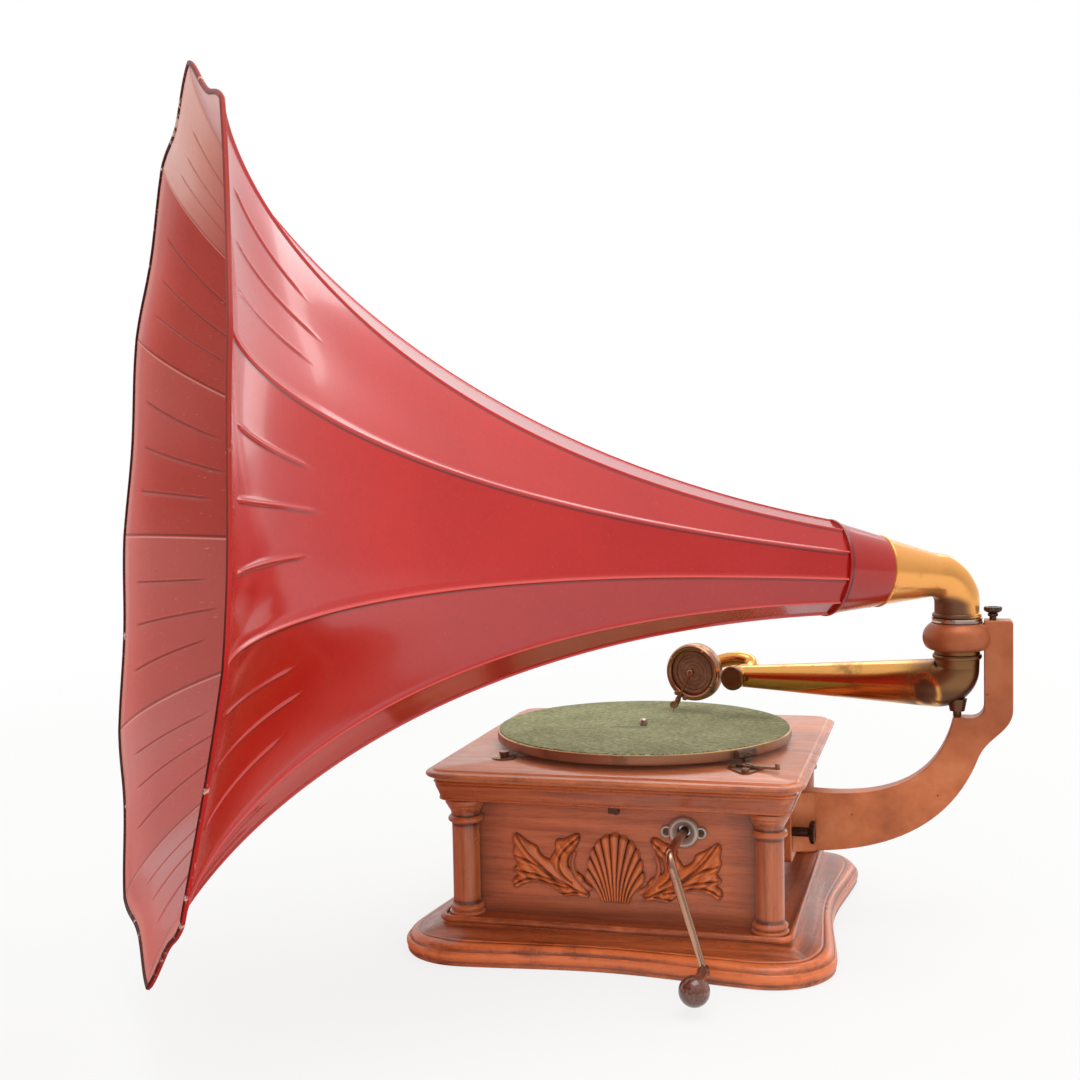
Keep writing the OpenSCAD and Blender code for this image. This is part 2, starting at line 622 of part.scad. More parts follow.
// Barrel, its spring and the winding wheels
module spring_barrel() {
    color("goldenrod") translate([crank_x, barrel_y, drum_z]) difference() {
        union() {
            linear_extrude(5) polygon(gear_points(barrel_module, barrel_teeth));
            cylinder(r = drum_r, h = drum_h);
        }
        translate([0, 0, 2]) cylinder(r = drum_r - 2, h = drum_h);
        translate([0, 0, -1]) cylinder(r = 6 + run, h = 5);
    }
}
module barrel_cover() {
    color("goldenrod") translate([crank_x, barrel_y, drum_z + drum_h]) ring_of(drum_r, 6 + run, 1.6);
}
module mainspring() {
    turns = 9;
    n = turns * 18;
    r0 = 9;
    r1 = drum_r - 4;
    function coil(i, out) = let (a = 360 * i / 18, r = r0 + (r1 - r0) * i / n + out)
        [r * cos(a), r * sin(a)];
    color("slategray") translate([crank_x, barrel_y, drum_z + 2.5]) linear_extrude(drum_h - 3)
        polygon(concat([for (i = [0 : n]) coil(i, 0)], [for (i = [n : -1 : 0]) coil(i, 0.6)]));
}
module barrel_arbor() {
    color("silver") translate([crank_x, barrel_y, 0]) {
        translate([0, 0, base_z]) cylinder(r = 4, h = motor_z + plate_t - base_z - 0.5);
        translate([0, 0, drum_z - 1]) ring_of(6, 3.5, drum_h + 4);
    }
}
module ratchet_wheel() {
    n = ratchet_teeth;
    tip = 14;
    color("silver") translate([crank_x, barrel_y, base_z + plate_t + 2]) difference() {
        linear_extrude(3) polygon(flat([for (i = [0 : n - 1]) let (a = 360 * i / n)
            [tip * [cos(a), sin(a)], (tip - 1.6) * [cos(a + 1), sin(a + 1)]]]));
        translate([0, 0, -1]) cylinder(r = 4, h = 5);
    }
}
crown_t = 4;
crown_root = crank_z - pinion_r - 1.3 * barrel_module;
module crown_wheel() {
    ri = crown_r - 4;
    color("goldenrod") translate([crank_x, barrel_y, 0]) {
        difference() {
            translate([0, 0, crown_root - crown_t]) cylinder(r = crown_r + 4, h = crown_t);
            translate([0, 0, crown_root - crown_t - 1]) cylinder(r = 4, h = crown_t + 2);
        }
        // Teeth stand up from the rim
        for (i = [0 : crown_teeth - 1]) rotate([0, 0, 360 * (i + 0.5) / crown_teeth - 90])
            translate([ri, 0, crown_root]) rotate([90, 0, 90]) linear_extrude(7.6)
            polygon([[-1, -1], [1, -1], [1, 0], [0.25, 2.1 * barrel_module],
            [-0.25, 2.1 * barrel_module], [-1, 0]]);
    }
}
module winding_shaft() {
    far = barrel_y - crown_r + 7;
    color("silver") translate([crank_x, far, crank_z]) rotate([90, 0, 0]) difference() {
        union() {
            cylinder(r = 5, h = panel_in + far + 5);
            translate([0, 0, 2.5]) rotate([0, 0, 90]) linear_extrude(9)
                polygon(gear_points(barrel_module, pinion_teeth, 0.3));
        }
        translate([0, 0, panel_in + far + 5 - 18]) cylinder(r = rod_r + 0.03, h = 20);
    }
}
module ratchet_pawl() {
    r = 14.35;
    color("silver") translate([crank_x, barrel_y, base_z + plate_t + 2.3]) difference() {
        union() {
            linear_extrude(2.4)
                polygon([[r, 0], [r + 1.6, -1.4], [r + 8, -12], [r + 4, -14.6], [r + 0.6, -4]]);
            translate([r + 5.6, -13.2, 0]) cylinder(r = 3.4, h = 2.4);
        }
        translate([r + 5.6, -13.2, -1]) cylinder(r = 1.5 + run, h = 5);
    }
}

// Governor
module along_governor() { translate([governor_x, 0, governor_z]) rotate([90, 0, 0]) children(); }
module governor_shaft() {
    len_worm = 9;
    color("silver") along_governor() {
        translate([0, 0, -22]) cylinder(r = 2, h = 85);
        translate([0, 0, -len_worm / 2]) linear_extrude(len_worm,
            twist = -360 * len_worm / worm_lead, slices = 12)
            polygon([for (i = [0 : worm_starts * 5 - 1]) let (q = i % 5, a = 18 * i + worm_turn)
                (q == 0 || q == 1 ? worm_r + 0.55 : worm_r - 1) * [cos(a), sin(a)]]);
        translate([0, 0, 16]) cylinder(r = 5, h = 5);
    }
}
worm_turn = -33;
weight_ring = 12.5;
module governor_weights() {
    color("goldenrod") along_governor() for (a = [0 : 120 : 240]) rotate([0, 0, a]) {
        translate([weight_ring, 0, 37.5]) sphere(r = weight_r, $fn = 32);
        // Leaf spring that bows out from the fixed collar to the disc
        rotate([90, 0, 0]) translate([0, 0, -1.8]) linear_extrude(3.6) polygon(concat(
            curve([5.1, 18], [6, 26], [8.4, 30], [8.6, 37.5], 6),
            curve([8.6, 37.5], [8.4, 45], [7.4, 50], [6.3, 54.9], 6),
            curve([5.7, 54.9], [6.6, 50], [8, 45], [8.1, 37.5], 6),
            curve([8.1, 37.5], [7.9, 30], [5.6, 26], [5.1, 20], 6)));
    }
}
module governor_disc() {
    color("goldenrod") along_governor() translate([0, 0, 55]) {
        ring_of(11, 2 + run, 2.2);
        translate([0, 0, -3]) ring_of(4.6, 2 + run, 3);
    }
}

// Speed control
dial_x = -99;
dial_y = -92.5;
dial_r = 10.4;
dial_t = 1.4;
lever_pivot = [-60, -80];
lever_z = governor_z - 1.5;
lever_t = 2;
// Pin under the knob that moves the lever, away from the lever's pivot
lever_dir = unit([dial_x, dial_y] - lever_pivot);
pin_out = 3;
pin_at = [dial_x, dial_y] + pin_out * lever_dir;
module speed_dial() {
    color("tan") translate([dial_x, dial_y, lid_top]) difference() {
        cylinder(r = dial_r, h = dial_t);
        translate([0, 0, -1]) cylinder(r = 2.5 + run, h = 5);
        for (a = [0 : 30 : 330]) rotate([0, 0, a]) translate([dial_r - 3, -0.25, dial_t - 0.4])
            cube([2, 0.5, 1]);
    }
}
module speed_knob() {
    color("tan") translate([dial_x, dial_y, 0]) {
        translate([0, 0, lever_z + lever_t + 0.8]) cylinder(r = 2.5, h = lid_top + dial_t - lever_z - 2);
        translate([0, 0, lever_z + lever_t + 0.8]) cylinder(r = 5, h = 1.5);
        translate([pin_out * lever_dir[0], pin_out * lever_dir[1], lever_z])
            cylinder(r = 1.2, h = lever_t + 1.5);
        translate([0, 0, lid_top + dial_t + 0.3]) cylinder(r1 = 3.6, r2 = 4.4, h = 4.2);
        translate([0, -0.9, lid_top + dial_t + 0.3]) cube([8.4, 1.8, 1.2]);
    }
}
module speed_lever() {
    z = lever_z;
    pad = [governor_x - 9, -66.6];
    color("tan") {
        difference() {
            union() {
                hull() for (p = [pin_at, lever_pivot]) translate([p[0], p[1], z])
                    cylinder(r = 4.2, h = lever_t, $fn = 24);
                hull() for (p = [lever_pivot, pad]) translate([p[0], p[1], z])
                    cylinder(r = 3, h = lever_t, $fn = 24);
            }
            translate([lever_pivot[0], lever_pivot[1], z - 1]) cylinder(r = 2 + run, h = 4);
            translate([pin_at[0], pin_at[1], z - 1]) rotate([0, 0, atan2(lever_dir[1], lever_dir[0])])
                translate([-3.2, -1.6, 0]) cube([5, 3.2, 4]);
        }
        translate([pad[0] - 1.8, pad[1], z]) cube([3.6, 57.2 + gap - 66.6 < 0 ? 66.6 - 57.2 - gap : 1, 5]);
    }
}

// Brake
brake_angle = -44.16;
brake_at = (platter_r + 17.97) * [cos(brake_angle), sin(brake_angle)];
pad_angle = -40;
pad_at = (platter_r + gap + 3.6) * [cos(pad_angle), sin(pad_angle)];
module brake_base() {
    color("peru") translate([brake_at[0], brake_at[1], lid_top]) {
        difference() {
            hull() for (p = [[-11, 2], [0, -13], [8, 4]]) translate([p[0], p[1], 0])
                cylinder(r = 5, h = 1.6, $fn = 32);
            cylinder(r = 2 + run, h = 5, center = true);
        }
        for (p = [[-11, 2], [0, -13]]) translate([p[0], p[1], 1.6]) screw(3.2, 2.2, 1, 1.6);
    }
}
module brake_lever() {
    color("peru") translate([brake_at[0], brake_at[1], lid_top + 1.6 + gap]) {
        hull() {
            translate([pad_at[0] - brake_at[0], pad_at[1] - brake_at[1], 0])
                cylinder(r = 2.6, h = 2.4, $fn = 24);
            cylinder(r = 4.6, h = 2.4, $fn = 32);
        }
        hull() {
            cylinder(r = 3.4, h = 2, $fn = 24);
            translate([24, -4, 0]) cylinder(r = 1.7, h = 2, $fn = 24);
        }
        translate([0, 0, -1.5 - gap]) cylinder(r = 2, h = 5.2);
        translate([24, -4, 0]) cylinder(r = 1.9, h = 4.6);
    }
}
module brake_pad() {
    z = lid_top + 1.6 + gap + 2.4;
    color("burlywood") translate([pad_at[0], pad_at[1], z]) rotate([0, 0, pad_angle + 90]) {
        translate([-3, -3, 0]) cube([6, 6, 2]);
        translate([-9.5, 0, 5.2]) rotate([0, 90, 0]) cylinder(r = 3.5, h = 19);
    }
}

// Crank
ear_x = 13.7;
ear_r = 4.3;
module crank_escutcheon() {
    color("silver") translate([crank_x, -panel_face, crank_z]) rotate([90, 0, 0]) difference() {
        union() {
            cylinder(r = 12.6, h = 2.6);
            translate([0, 0, 2.6]) cylinder(r1 = 12.6, r2 = 10.6, h = 2.4);
            for (x = [-1, 1]) translate([x * ear_x, 0, 0]) cylinder(r = ear_r, h = 3.4);
        }
        translate([0, 0, -1]) cylinder(r = rod_r + 1.6, h = 8);
        translate([0, 0, 1.6]) cylinder(r1 = rod_r + 1.6, r2 = 8.4, h = 3.5);
        for (x = [-1, 1]) translate([x * ear_x, 0, 2]) cylinder(r = 2.4, h = 3);
        for (x = [-1, 1]) translate([x * ear_x, 0, -1]) cylinder(r = 1.3, h = 5);
    }
}
module escutcheon_screws() {
    color("dimgray") for (x = [-1, 1]) translate([crank_x + x * ear_x, -panel_face, crank_z])
        rotate([90, 0, 0]) translate([0, 0, 2]) screw(2.2, 1, 1.25, 2);
}
// Direction of the crank arm, and the point where the knob's axis meets it
arm_dir = [sin(crank_lean), 0, -cos(crank_lean)];
arm_y = -panel_face - crank_out;
eye = [crank_x, arm_y - 4, crank_z] + crank_len * arm_dir;
module crank_rod() {
    b = 11;
    start = [crank_x, -panel_in + 1, crank_z];
    corner = [crank_x, arm_y, crank_z];
    path = concat([for (i = [0 : 3]) start + (corner + [0, b, 0] - start) * i / 3],
        [for (i = [1 : 7]) corner + [0, b, 0] + b * ((1 - cos(90 * i / 7)) * arm_dir
            - [0, sin(90 * i / 7), 0])],
        [for (i = [1 : 5]) let (p = corner + b * arm_dir) p + (eye - 3.4 * arm_dir - p) * i / 5]);
    n = len(path);
    radii = [for (i = [0 : n - 1]) i < 10 ? rod_r : rod_r + (rod_tip_r - rod_r) * (i - 10) / (n - 11)];
    color("silver") {
        tube(path, radii, 0, cross([0, 1, 0], arm_dir), 14);
        translate(eye) rotate([90, 0, 0]) difference() {
            translate([0, 0, -3]) cylinder(r = 4, h = 6);
            translate([0, 0, -4]) cylinder(r = 1.6, h = 5);
        }
        // Pin that the knob turns on
        translate(eye + [0, -3, 0]) rotate([90, 0, 0]) cylinder(r = 1.8, h = knob_len - 14);
    }
}
module crank_knob() {
    l = knob_len - 4;
    neck = 4.4;
    ball = [for (a = [-52 : 10.4 : 78]) [knob_r * cos(a), l - knob_r + knob_r * sin(a)]];
    color("saddlebrown") translate(eye + [0, -3 - gap, 0]) rotate([90, 0, 0]) difference() {
        rotate_extrude() polygon(concat([[0, 0], [neck, 0], [neck + 0.6, 2], [neck, 4]],
            curve([neck, 6], [neck, 16], [5.4, 22], ball[0], 5), ball, [[0, l]]));
        translate([0, 0, -1]) cylinder(r = 1.8 + run, h = knob_len - 13);
    }
}

// Bracket
module bracket() {
    lug_z = ring_top + 2.6;
    top = concat(curve([flange_x, arm_root_z + arm_h + 2], [195, 109], [245, 118],
        [pivot_x - 3.4, shelf_z - 2], 12),
        [[pivot_x - 3.4, shelf_z], [post_x - 10, shelf_z]],
        [for (a = [0 : 15 : 90]) [post_x - 10 + 10 * sin(a), shelf_z + 10 - 10 * cos(a)]]);
    outer = concat([for (a = [0 : 15 : 90]) [post_out - 3 + 3 * sin(a), lug_z - 3 + 3 * cos(a)]],
        curve([post_out, shelf_z + 8], [post_out, shelf_z - 10], [pivot_x + 26, shelf_z - 14],
            [pivot_x + 18, shelf_z - 30], 7),
        curve([pivot_x + 17, shelf_z - 32], [pivot_x - 5, arm_root_z + 25], [205, arm_root_z],
            [flange_x, arm_root_z], 12));
    color("chocolate") difference() {
        union() {
            translate([0, arm_t / 2, 0]) rotate([90, 0, 0]) linear_extrude(arm_t)
                polygon(concat(top, [[post_x, lug_z]], outer));
            // Support ring, rounded outside
            translate([pivot_x, 0, ring_z]) rotate_extrude() polygon([[ring_bore - 1, 0],
                [ring_out - 2.4, 0], [ring_out, 4], [ring_out + 0.6, ring_h / 2],
                [ring_out, ring_h - 4], [ring_out - 2.4, ring_h], [ring_bore - 1, ring_h]]);
            translate([pivot_x + 12, -arm_t / 2, ring_z]) cube([post_in - 11, arm_t, ring_h]);
            // Flange on the side of the case, with a rounded root under the arm
            translate([panel_face, -30, 57]) cube([flange_x - panel_face, 60, 62]);
            translate([flange_x, 0, arm_root_z]) linear_extrude(arm_h) polygon(concat(
                curve([0, -17], [4, -14], [10, -9.6], [18, -arm_t / 2], 5),
                curve([18, arm_t / 2], [10, 9.6], [4, 14], [0, 17], 5)));
        }
        translate([pivot_x, 0, ring_z - 1]) cylinder(r = ring_bore, h = ring_h + 2);
        translate([pivot_x, 0, shelf_z - 8]) cylinder(r = 1.8 + run, h = 9);
        translate([lock_x, 0, lug_z - 14]) cylinder(r = 2.8 + run, h = 20);
        translate([panel_face - 1, -24, thumb_z]) rotate([0, 90, 0]) cylinder(r = 4 + run, h = 20);
    }
}
lock_x = post_x + 7;
thumb_z = 83;
// Flat disc head with a grooved edge, pointing along +Z
module thumb_head(r, t, notches) {
    difference() {
        union() {
            cylinder(r1 = r * 0.72, r2 = r, h = t * 0.35);
            translate([0, 0, t * 0.35]) cylinder(r = r, h = t * 0.65);
        }
        for (i = [0 : notches - 1]) rotate([0, 0, 360 * i / notches])
            translate([r + 0.5, 0, -1]) cylinder(r = 1, h = t + 2, $fn = 16);
    }
}
module bracket_thumbscrew() {
    color("dimgray") translate([panel_face + 1, -24, thumb_z]) rotate([0, 90, 0]) {
        cylinder(r = 4, h = 26);
        translate([0, 0, 26]) thumb_head(9.6, 5, 20);
    }
}
module horn_lock_screw() {
    z = ring_top + 2.6;
    color("dimgray") translate([lock_x, 0, 0]) {
        translate([0, 0, z - 13]) cylinder(r = 2.8, h = 19);
        translate([0, 0, z + 2.6]) cylinder(r = 4, h = 3);
        translate([0, 0, z + 6]) thumb_head(7.2, 4.4, 16);
    }
}

// Horn
module horn_elbow() {
    // In the plane of the bend: up from the collar, round, then out and wider to the horn
    up = horn_z - elbow_z;
    turn = 90 - horn_rise;
    lead = bend_r * tan(turn / 2);
    sweep = [for (i = [0 : 8]) let (a = turn * i / 8)
        [bend_r * (1 - cos(a)), 0, up - lead + bend_r * sin(a)]];
    axis = [cos(horn_rise), 0, sin(horn_rise)];
    run_out = [for (i = [1 : 5]) [0, 0, up] + axis * (lead + (elbow_end - lead) * i / 5)];
    path = concat([[0, 0, 0]], sweep, run_out);
    n = len(path);
    radii = [for (i = [0 : n - 1]) i < 6 ? elbow_r
        : elbow_r + (elbow_end_r - elbow_r) * pow((i - 5) / (n - 6), 1.1)];
    spigot = neck_r - tube_wall - run;
    color("gold") {
        translate([pivot_x, 0, elbow_z]) rotate([0, 0, 180 + horn_swing])
            tube(path, radii, tube_wall, [0, 1, 0], 20);
        translate([pivot_x, 0, ring_top - 18]) ring_of(spigot, spigot - 1.4, elbow_z - ring_top + 18.6);
        horn_frame() rotate([0, 90, 0]) translate([0, 0, elbow_end - 1])
            ring_of(elbow_end_r - tube_wall + 0.6, elbow_end_r - tube_wall - 1, 15);
    }
}
module horn_collar() {
    color("silver") translate([pivot_x, 0, ring_top + gap])
        ring_of(elbow_r + 2.3, neck_r - tube_wall, collar_t - 0.02);
}
module horn_neck() {
    l = horn_start - elbow_end - 0.1 - gap;
    r0 = elbow_end_r + 0.4;
    r1 = horn_r0;
    t = 1.2;
    color("firebrick") horn_frame() rotate([0, 90, 0]) translate([0, 0, elbow_end + 0.1]) {
        rotate_extrude() polygon([[r0 - t, 0], [r0, 0], [r1, l - 3], [r1 + 1.6, l - 2.4],
            [r1 + 1.8, l - 1.2], [r1 + 1.4, l], [r1 - 2.5, l], [r1 - 2.6, l + 8], [r1 - 3.6, l + 8],
            [r1 - 3.6, l - 5]]);
        for (a = [100, 280]) rotate([0, 0, a]) translate([r0 - t + 0.2, 0, 7]) rotate([0, 90, 0])
            cylinder(r = 1.7, h = 3.4);
    }
}
// The horn's profile as [distance, radius]
function horn_at(t) = bez([horn_start, horn_r0], [horn_start + 0.748 * (horn_end - horn_start), 73.6],
    [horn_end - 9.7, 0.837 * mouth_r], [horn_end, mouth_r], t);
function horn_slope(t) = unit(horn_at(min(1, t + 0.01)) - horn_at(max(0, t - 0.01)));
// Point on petal k, v across it from 0 to 1, t along it from 0 to 1, h above the sheet
function petal_at(k, v, t, h) = let (p = horn_at(t), d = horn_slope(t), bow = 1 - pow(2 * v - 1, 2),
    r = p[1] * (1 - 0.79 * (1 - cos(180 / petals)) * bow) + h * d[0],
    a = seam_angle + (k + v) * 360 / petals, out = pow(p[1] / mouth_r, 3),
    s = p[0] - 4 * bow * out + mouth_lean * out * sin(a) - h * d[1])
    [s, r * cos(a), r * sin(a)];
seam_angle = 20.7;
module horn_petals() {
    n = 18;
    // Places across a petal: the seam's fold, then even steps
    function across(t) = let (w = horn_at(t)[1] * 2 * PI / petals) concat([0.02 / w, 1.8 / w, 2.6 / w],
        [for (i = [1 : 4]) i / 5], [1 - 0.02 / w]);
    color("firebrick") horn_frame() for (k = [0 : petals - 1]) {
        skin = [for (i = [0 : n - 1]) let (t = i / (n - 1), c = across(t))
            [for (j = [0 : 7]) petal_at(k, c[j], t, j < 2 ? seam_h : 0)]];
        lining = [for (i = [0 : n - 1]) let (t = i / (n - 1), c = across(t))
            [for (j = [0 : 7]) petal_at(k, c[j], t, -horn_sheet)]];
        polyhedron(concat(flat(skin), flat(lining)), slab_faces(n, 8));
    }
}
module horn_rim_wire() {
    m = 6;
    steps = 7;
    n = petals * steps;
    points = flat([for (i = [0 : n - 1]) let (k = floor(i / steps), v = (i % steps) / steps,
        p = petal_at(k, v, 1, -horn_sheet / 2), a = atan2(p[2], p[1]),
        out = norm([p[1], p[2]]) + wire_r + 0.15)
        [for (j = [0 : m - 1]) let (r = out + wire_r * cos(60 * j))
            [p[0] - wire_r * sin(60 * j), r * cos(a), r * sin(a)]]]);
    color("maroon") horn_frame() polyhedron(points, loop_faces(n, m));
}

// Tone arm
module tone_arm() {
    drop = ring_z - 12.5;
    r = 19;
    out = [cos(arm_slope), 0, -sin(arm_slope)];
    start = [r * 1.02, 0, arm_z];
    reach = cross_x - start[0];
    path = concat([[0, 0, drop]], [for (i = [1 : 7]) let (a = 88 * i / 8)
        [r * (1 - cos(a)), 0, drop - (drop - arm_z) * sin(a)]],
        [for (i = [0 : 6]) start + out * reach * i / 6]);
    n = len(path);
    // The bend starts inside the neck's wall and swells into the taper
    radii = [for (i = [0 : n - 1]) i < 8 ? neck_r - 0.55 + 2.2 * sin(90 * i / 7)
        : 19.9 - (19.9 - cross_r + 0.5) * (path[i][0] - start[0]) / reach];
    cross_z = path[n - 1][2];
    color("gold") arm_frame() {
        difference() {
            union() {
                tube(path, radii, tube_wall, [0, 1, 0], 20);
                translate([cross_x, 16, cross_z]) rotate([90, 0, 0]) cylinder(r = cross_r, h = 28);
                translate([cross_x, 16.6, cross_z]) rotate([90, 0, 0]) cylinder(r = cross_r + 1, h = 3.4);
            }
            translate([cross_x, 12, cross_z]) rotate([90, 0, 0]) cylinder(r = crook_r + run, h = 30);
        }
        translate([0, 0, drop - 2]) ring_of(neck_r, neck_r - tube_wall, ring_top - drop + 1);
        // Foot and pivot pin under the bend
        translate([0, 0, shelf_z + gap]) cylinder(r = 3.4, h = arm_z - 20 - shelf_z);
        translate([0, 0, shelf_z - 6]) cylinder(r = 1.8, h = 12);
        translate([0, 0, shelf_z + 4]) cylinder(r1 = 6, r2 = 8, h = arm_z - shelf_z - 16);
    }
}
cross_height = arm_z - (cross_x - 19.4) * tan(arm_slope);
module crook() {
    z = cross_height;
    path = concat([[cross_x, 11, z], [cross_x, 0, z], [cross_x, -12, z]],
        curve([cross_x, -14, z], [cross_x - 1, -36, z + 5], [cross_x + 4, -34, z + 11],
            [cross_x + 18, -33, z + 10.5], 7),
        curve([cross_x + 24, -33, z + 9.5], [box_x - 4, -32, z + 6], [box_x, -26, box_z],
            [box_x, -box_out - 7, box_z], 6));
    color("gold") arm_frame() {
        tube(path, [for (p = path) crook_r], 1.2, [0, 0, 1], 12);
        translate([box_x, -box_out - 7.5, box_z]) rotate([90, 0, 0]) cylinder(r = crook_r + 2, h = 3);
    }
}
// Height of the needle's axis over the middle plane of the sound box
needle_y = box_out + gap + 1;
module sound_box() {
    r = box_r;
    h = box_t;
    lug = [cos(stylus_angle), sin(stylus_angle)];
    color("saddlebrown") box_frame() difference() {
        union() {
            // Rim with a stepped face, open in front over the diaphragm
            translate([0, 0, -h / 2]) rotate_extrude() polygon([[0, 0], [r - 3, 0], [r, 2],
                [r, h - 3], [r - 0.8, h - 1.4], [r - 3, h], [r - 5.4, h - 1.2], [r - 5.8, h - 5],
                [0, h - 5]]);
            translate([0, 0, -h / 2 - 4]) cylinder(r = 14, h = 4.5);
            translate([0, 0, -h / 2 - 7]) cylinder(r = crook_r + 3, h = 4);
            for (s = [-1, 1]) translate([(r - 2) * lug[0] - s * 4.6 * lug[1],
                (r - 2) * lug[1] + s * 4.6 * lug[0], h / 2 - 4]) cylinder(r = 2.2, h = 5);
        }
        translate([0, 0, -h]) cylinder(r = crook_r + 0.1, h = h - box_out + 3);
    }
}
module diaphragm() {
    color("rosybrown") box_frame() translate([0, 0, box_out - 5]) {
        translate([0, 0, 0.02]) cylinder(r = box_r - 6.4, h = 0.5);
        translate([0, 0, 0.5]) ring_of(box_r - 7, box_r - 9, 1.2);
    }
}
module stylus_bar() {
    a = stylus_angle;
    z = box_out + gap;
    color("saddlebrown") box_frame() rotate([0, 0, a]) {
        // Bar from the middle of the diaphragm over the rim, then down to the needle socket
        translate([0, -1.1, z]) cube([box_r, 2.2, 1.8]);
        translate([0, 0, box_out - 4.3]) cylinder(r = 1.4, h = 4.3 + gap + 1);
        translate([0, 0, z]) cylinder(r = 3, h = 2.4);
        translate([box_r - 3, -1.9, z]) cube([5.6, 3.8, 2.4]);
        difference() {
            translate([box_r + 1, 0, needle_y]) rotate([0, 90, 0]) cylinder(r = 2.6, h = 8.2);
            translate([box_r + 2.6, 0, needle_y]) rotate([0, 90, 0]) cylinder(r = 0.72, h = 9);
        }
        // Thumb screw that holds the needle
        translate([box_r + 6.6, 0, needle_y + 2]) cylinder(r = 1.2, h = 2);
        translate([box_r + 6.6, 0, needle_y + 3.4]) cylinder(r = 3.5, h = 2.6);
    }
}
module needle() {
    l = needle_reach - box_r - 5.2;
    color("silver") box_frame() rotate([0, 0, stylus_angle]) translate([box_r + 2.7, 0, needle_y])
        rotate([0, 90, 0]) {
            cylinder(r = 0.68, h = l);
            translate([0, 0, l]) cylinder(r1 = 0.68, r2 = 0.12, h = 2.5);
        }
}

plinth();
bottom_board();
crank_side_panel();
far_side_panel();
horn_side_panel();
bracket_side_panel();
corner_columns();
cornice();
lid_board();
carved_shell();
carved_leaves();
lid_catch();
case_screws();
motor_plate();
motor_base_plate();
motor_pillars();
winding_bearing();
governor_bearings();
turntable_platter();
turntable_felt();
spindle();
spindle_pinion();
governor_drive_wheel();
intermediate_wheel();
intermediate_arbor();
spring_barrel();
barrel_cover();
mainspring();
barrel_arbor();
ratchet_wheel();
crown_wheel();
winding_shaft();
crank_rod();
crank_knob();
ratchet_pawl();
governor_shaft();
governor_weights();
governor_disc();
speed_dial();
speed_knob();
speed_lever();
brake_base();
brake_lever();
brake_pad();
crank_escutcheon();
escutcheon_screws();
bracket();
bracket_thumbscrew();
horn_lock_screw();
horn_elbow();
horn_collar();
horn_neck();
horn_petals();
horn_rim_wire();
tone_arm();
crook();
sound_box();
diaphragm();
stylus_bar();
needle();
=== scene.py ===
# %% [markdown]
# # A horn gramophone, dressed for its portrait
# The machine is a square carved case with a spring motor inside, a felt-covered turntable, a brass
# tone arm and a huge red sheet-metal horn of eleven petals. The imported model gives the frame: its
# bodies already turn and swing, so each piece made here only has to lie in the right place and
# ride on the right body. Everything is measured in millimetres and turned into metres at the end.

# %% Load the frame
from functools import partial

import bmesh
import bpy
import numpy as np
from mathutils import Matrix, Vector


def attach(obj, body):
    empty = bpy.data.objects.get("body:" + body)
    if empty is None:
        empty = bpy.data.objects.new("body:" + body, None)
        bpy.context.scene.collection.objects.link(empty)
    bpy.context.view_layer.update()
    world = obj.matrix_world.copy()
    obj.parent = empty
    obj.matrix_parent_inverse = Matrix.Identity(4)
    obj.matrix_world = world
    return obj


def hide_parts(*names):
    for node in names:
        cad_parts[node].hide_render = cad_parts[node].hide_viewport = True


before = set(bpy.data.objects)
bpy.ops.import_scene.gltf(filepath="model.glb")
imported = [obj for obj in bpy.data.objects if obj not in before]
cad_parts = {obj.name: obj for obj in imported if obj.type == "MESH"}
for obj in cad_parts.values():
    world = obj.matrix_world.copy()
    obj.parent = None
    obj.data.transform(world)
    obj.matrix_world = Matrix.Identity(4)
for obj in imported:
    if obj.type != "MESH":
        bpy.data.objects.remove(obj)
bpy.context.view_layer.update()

# %% [markdown]
# The camera comes first. Its place was worked out from the square case, whose edges run along the
# axes: their vanishing points give the focal length and the turn, and the known height of the case
# gives the distance. A camera could also be placed by eye, but then each piece would drift a little
# in the picture.

# %% Camera
def aim_camera(place, yaw, pitch, roll, lens):
    """Looks along +Y turned left by yaw and down by pitch, then rolls; angles in degrees."""
    yaw, pitch, roll = np.radians([yaw, pitch, roll])
    ahead = np.array([-np.sin(yaw) * np.cos(pitch), np.cos(yaw) * np.cos(pitch), -np.sin(pitch)])
    right = np.array([np.cos(yaw), np.sin(yaw), 0.0])
    up = np.cross(right, ahead)
    x = right * np.cos(roll) + up * np.sin(roll)
    y = up * np.cos(roll) - right * np.sin(roll)
    camera = bpy.data.objects.new("camera", bpy.data.cameras.new("camera"))
    camera.matrix_world = Matrix.Translation(place) @ Matrix(np.array([x, y, -ahead]).T.tolist()).to_4x4()
    camera.data.lens = lens
    camera.data.sensor_width = 36
    camera.data.clip_end = 20
    bpy.context.scene.collection.objects.link(camera)
    bpy.context.scene.camera = camera
    return camera


camera = aim_camera((0.2661, -1.2747, 0.4064), 15.63, 3.49, -1.09, 36 * 1507 / 1080)
print("camera lens", round(camera.data.lens, 2), "mm")

# %% [markdown]
# Colours are written as hex values, the way a paint program shows them. Blender calculates with
# linear light, so one function turns the first into the second. A second small function adds a
# shader node with its settings and its links. Each material gets its own copy of it, bound to its
# tree, which keeps the recipes below short.

# %% Colour and node helpers
def linear(hex_colour):
    """sRGB to linear: c / 12.92 near black, else ((c + 0.055) / 1.055) to the power 2.4."""
    c = np.array([int(hex_colour[i:i + 2], 16) for i in (1, 3, 5)]) / 255
    return (*np.where(c <= 0.04045, c / 12.92, ((c + 0.055) / 1.055) ** 2.4).tolist(), 1.0)


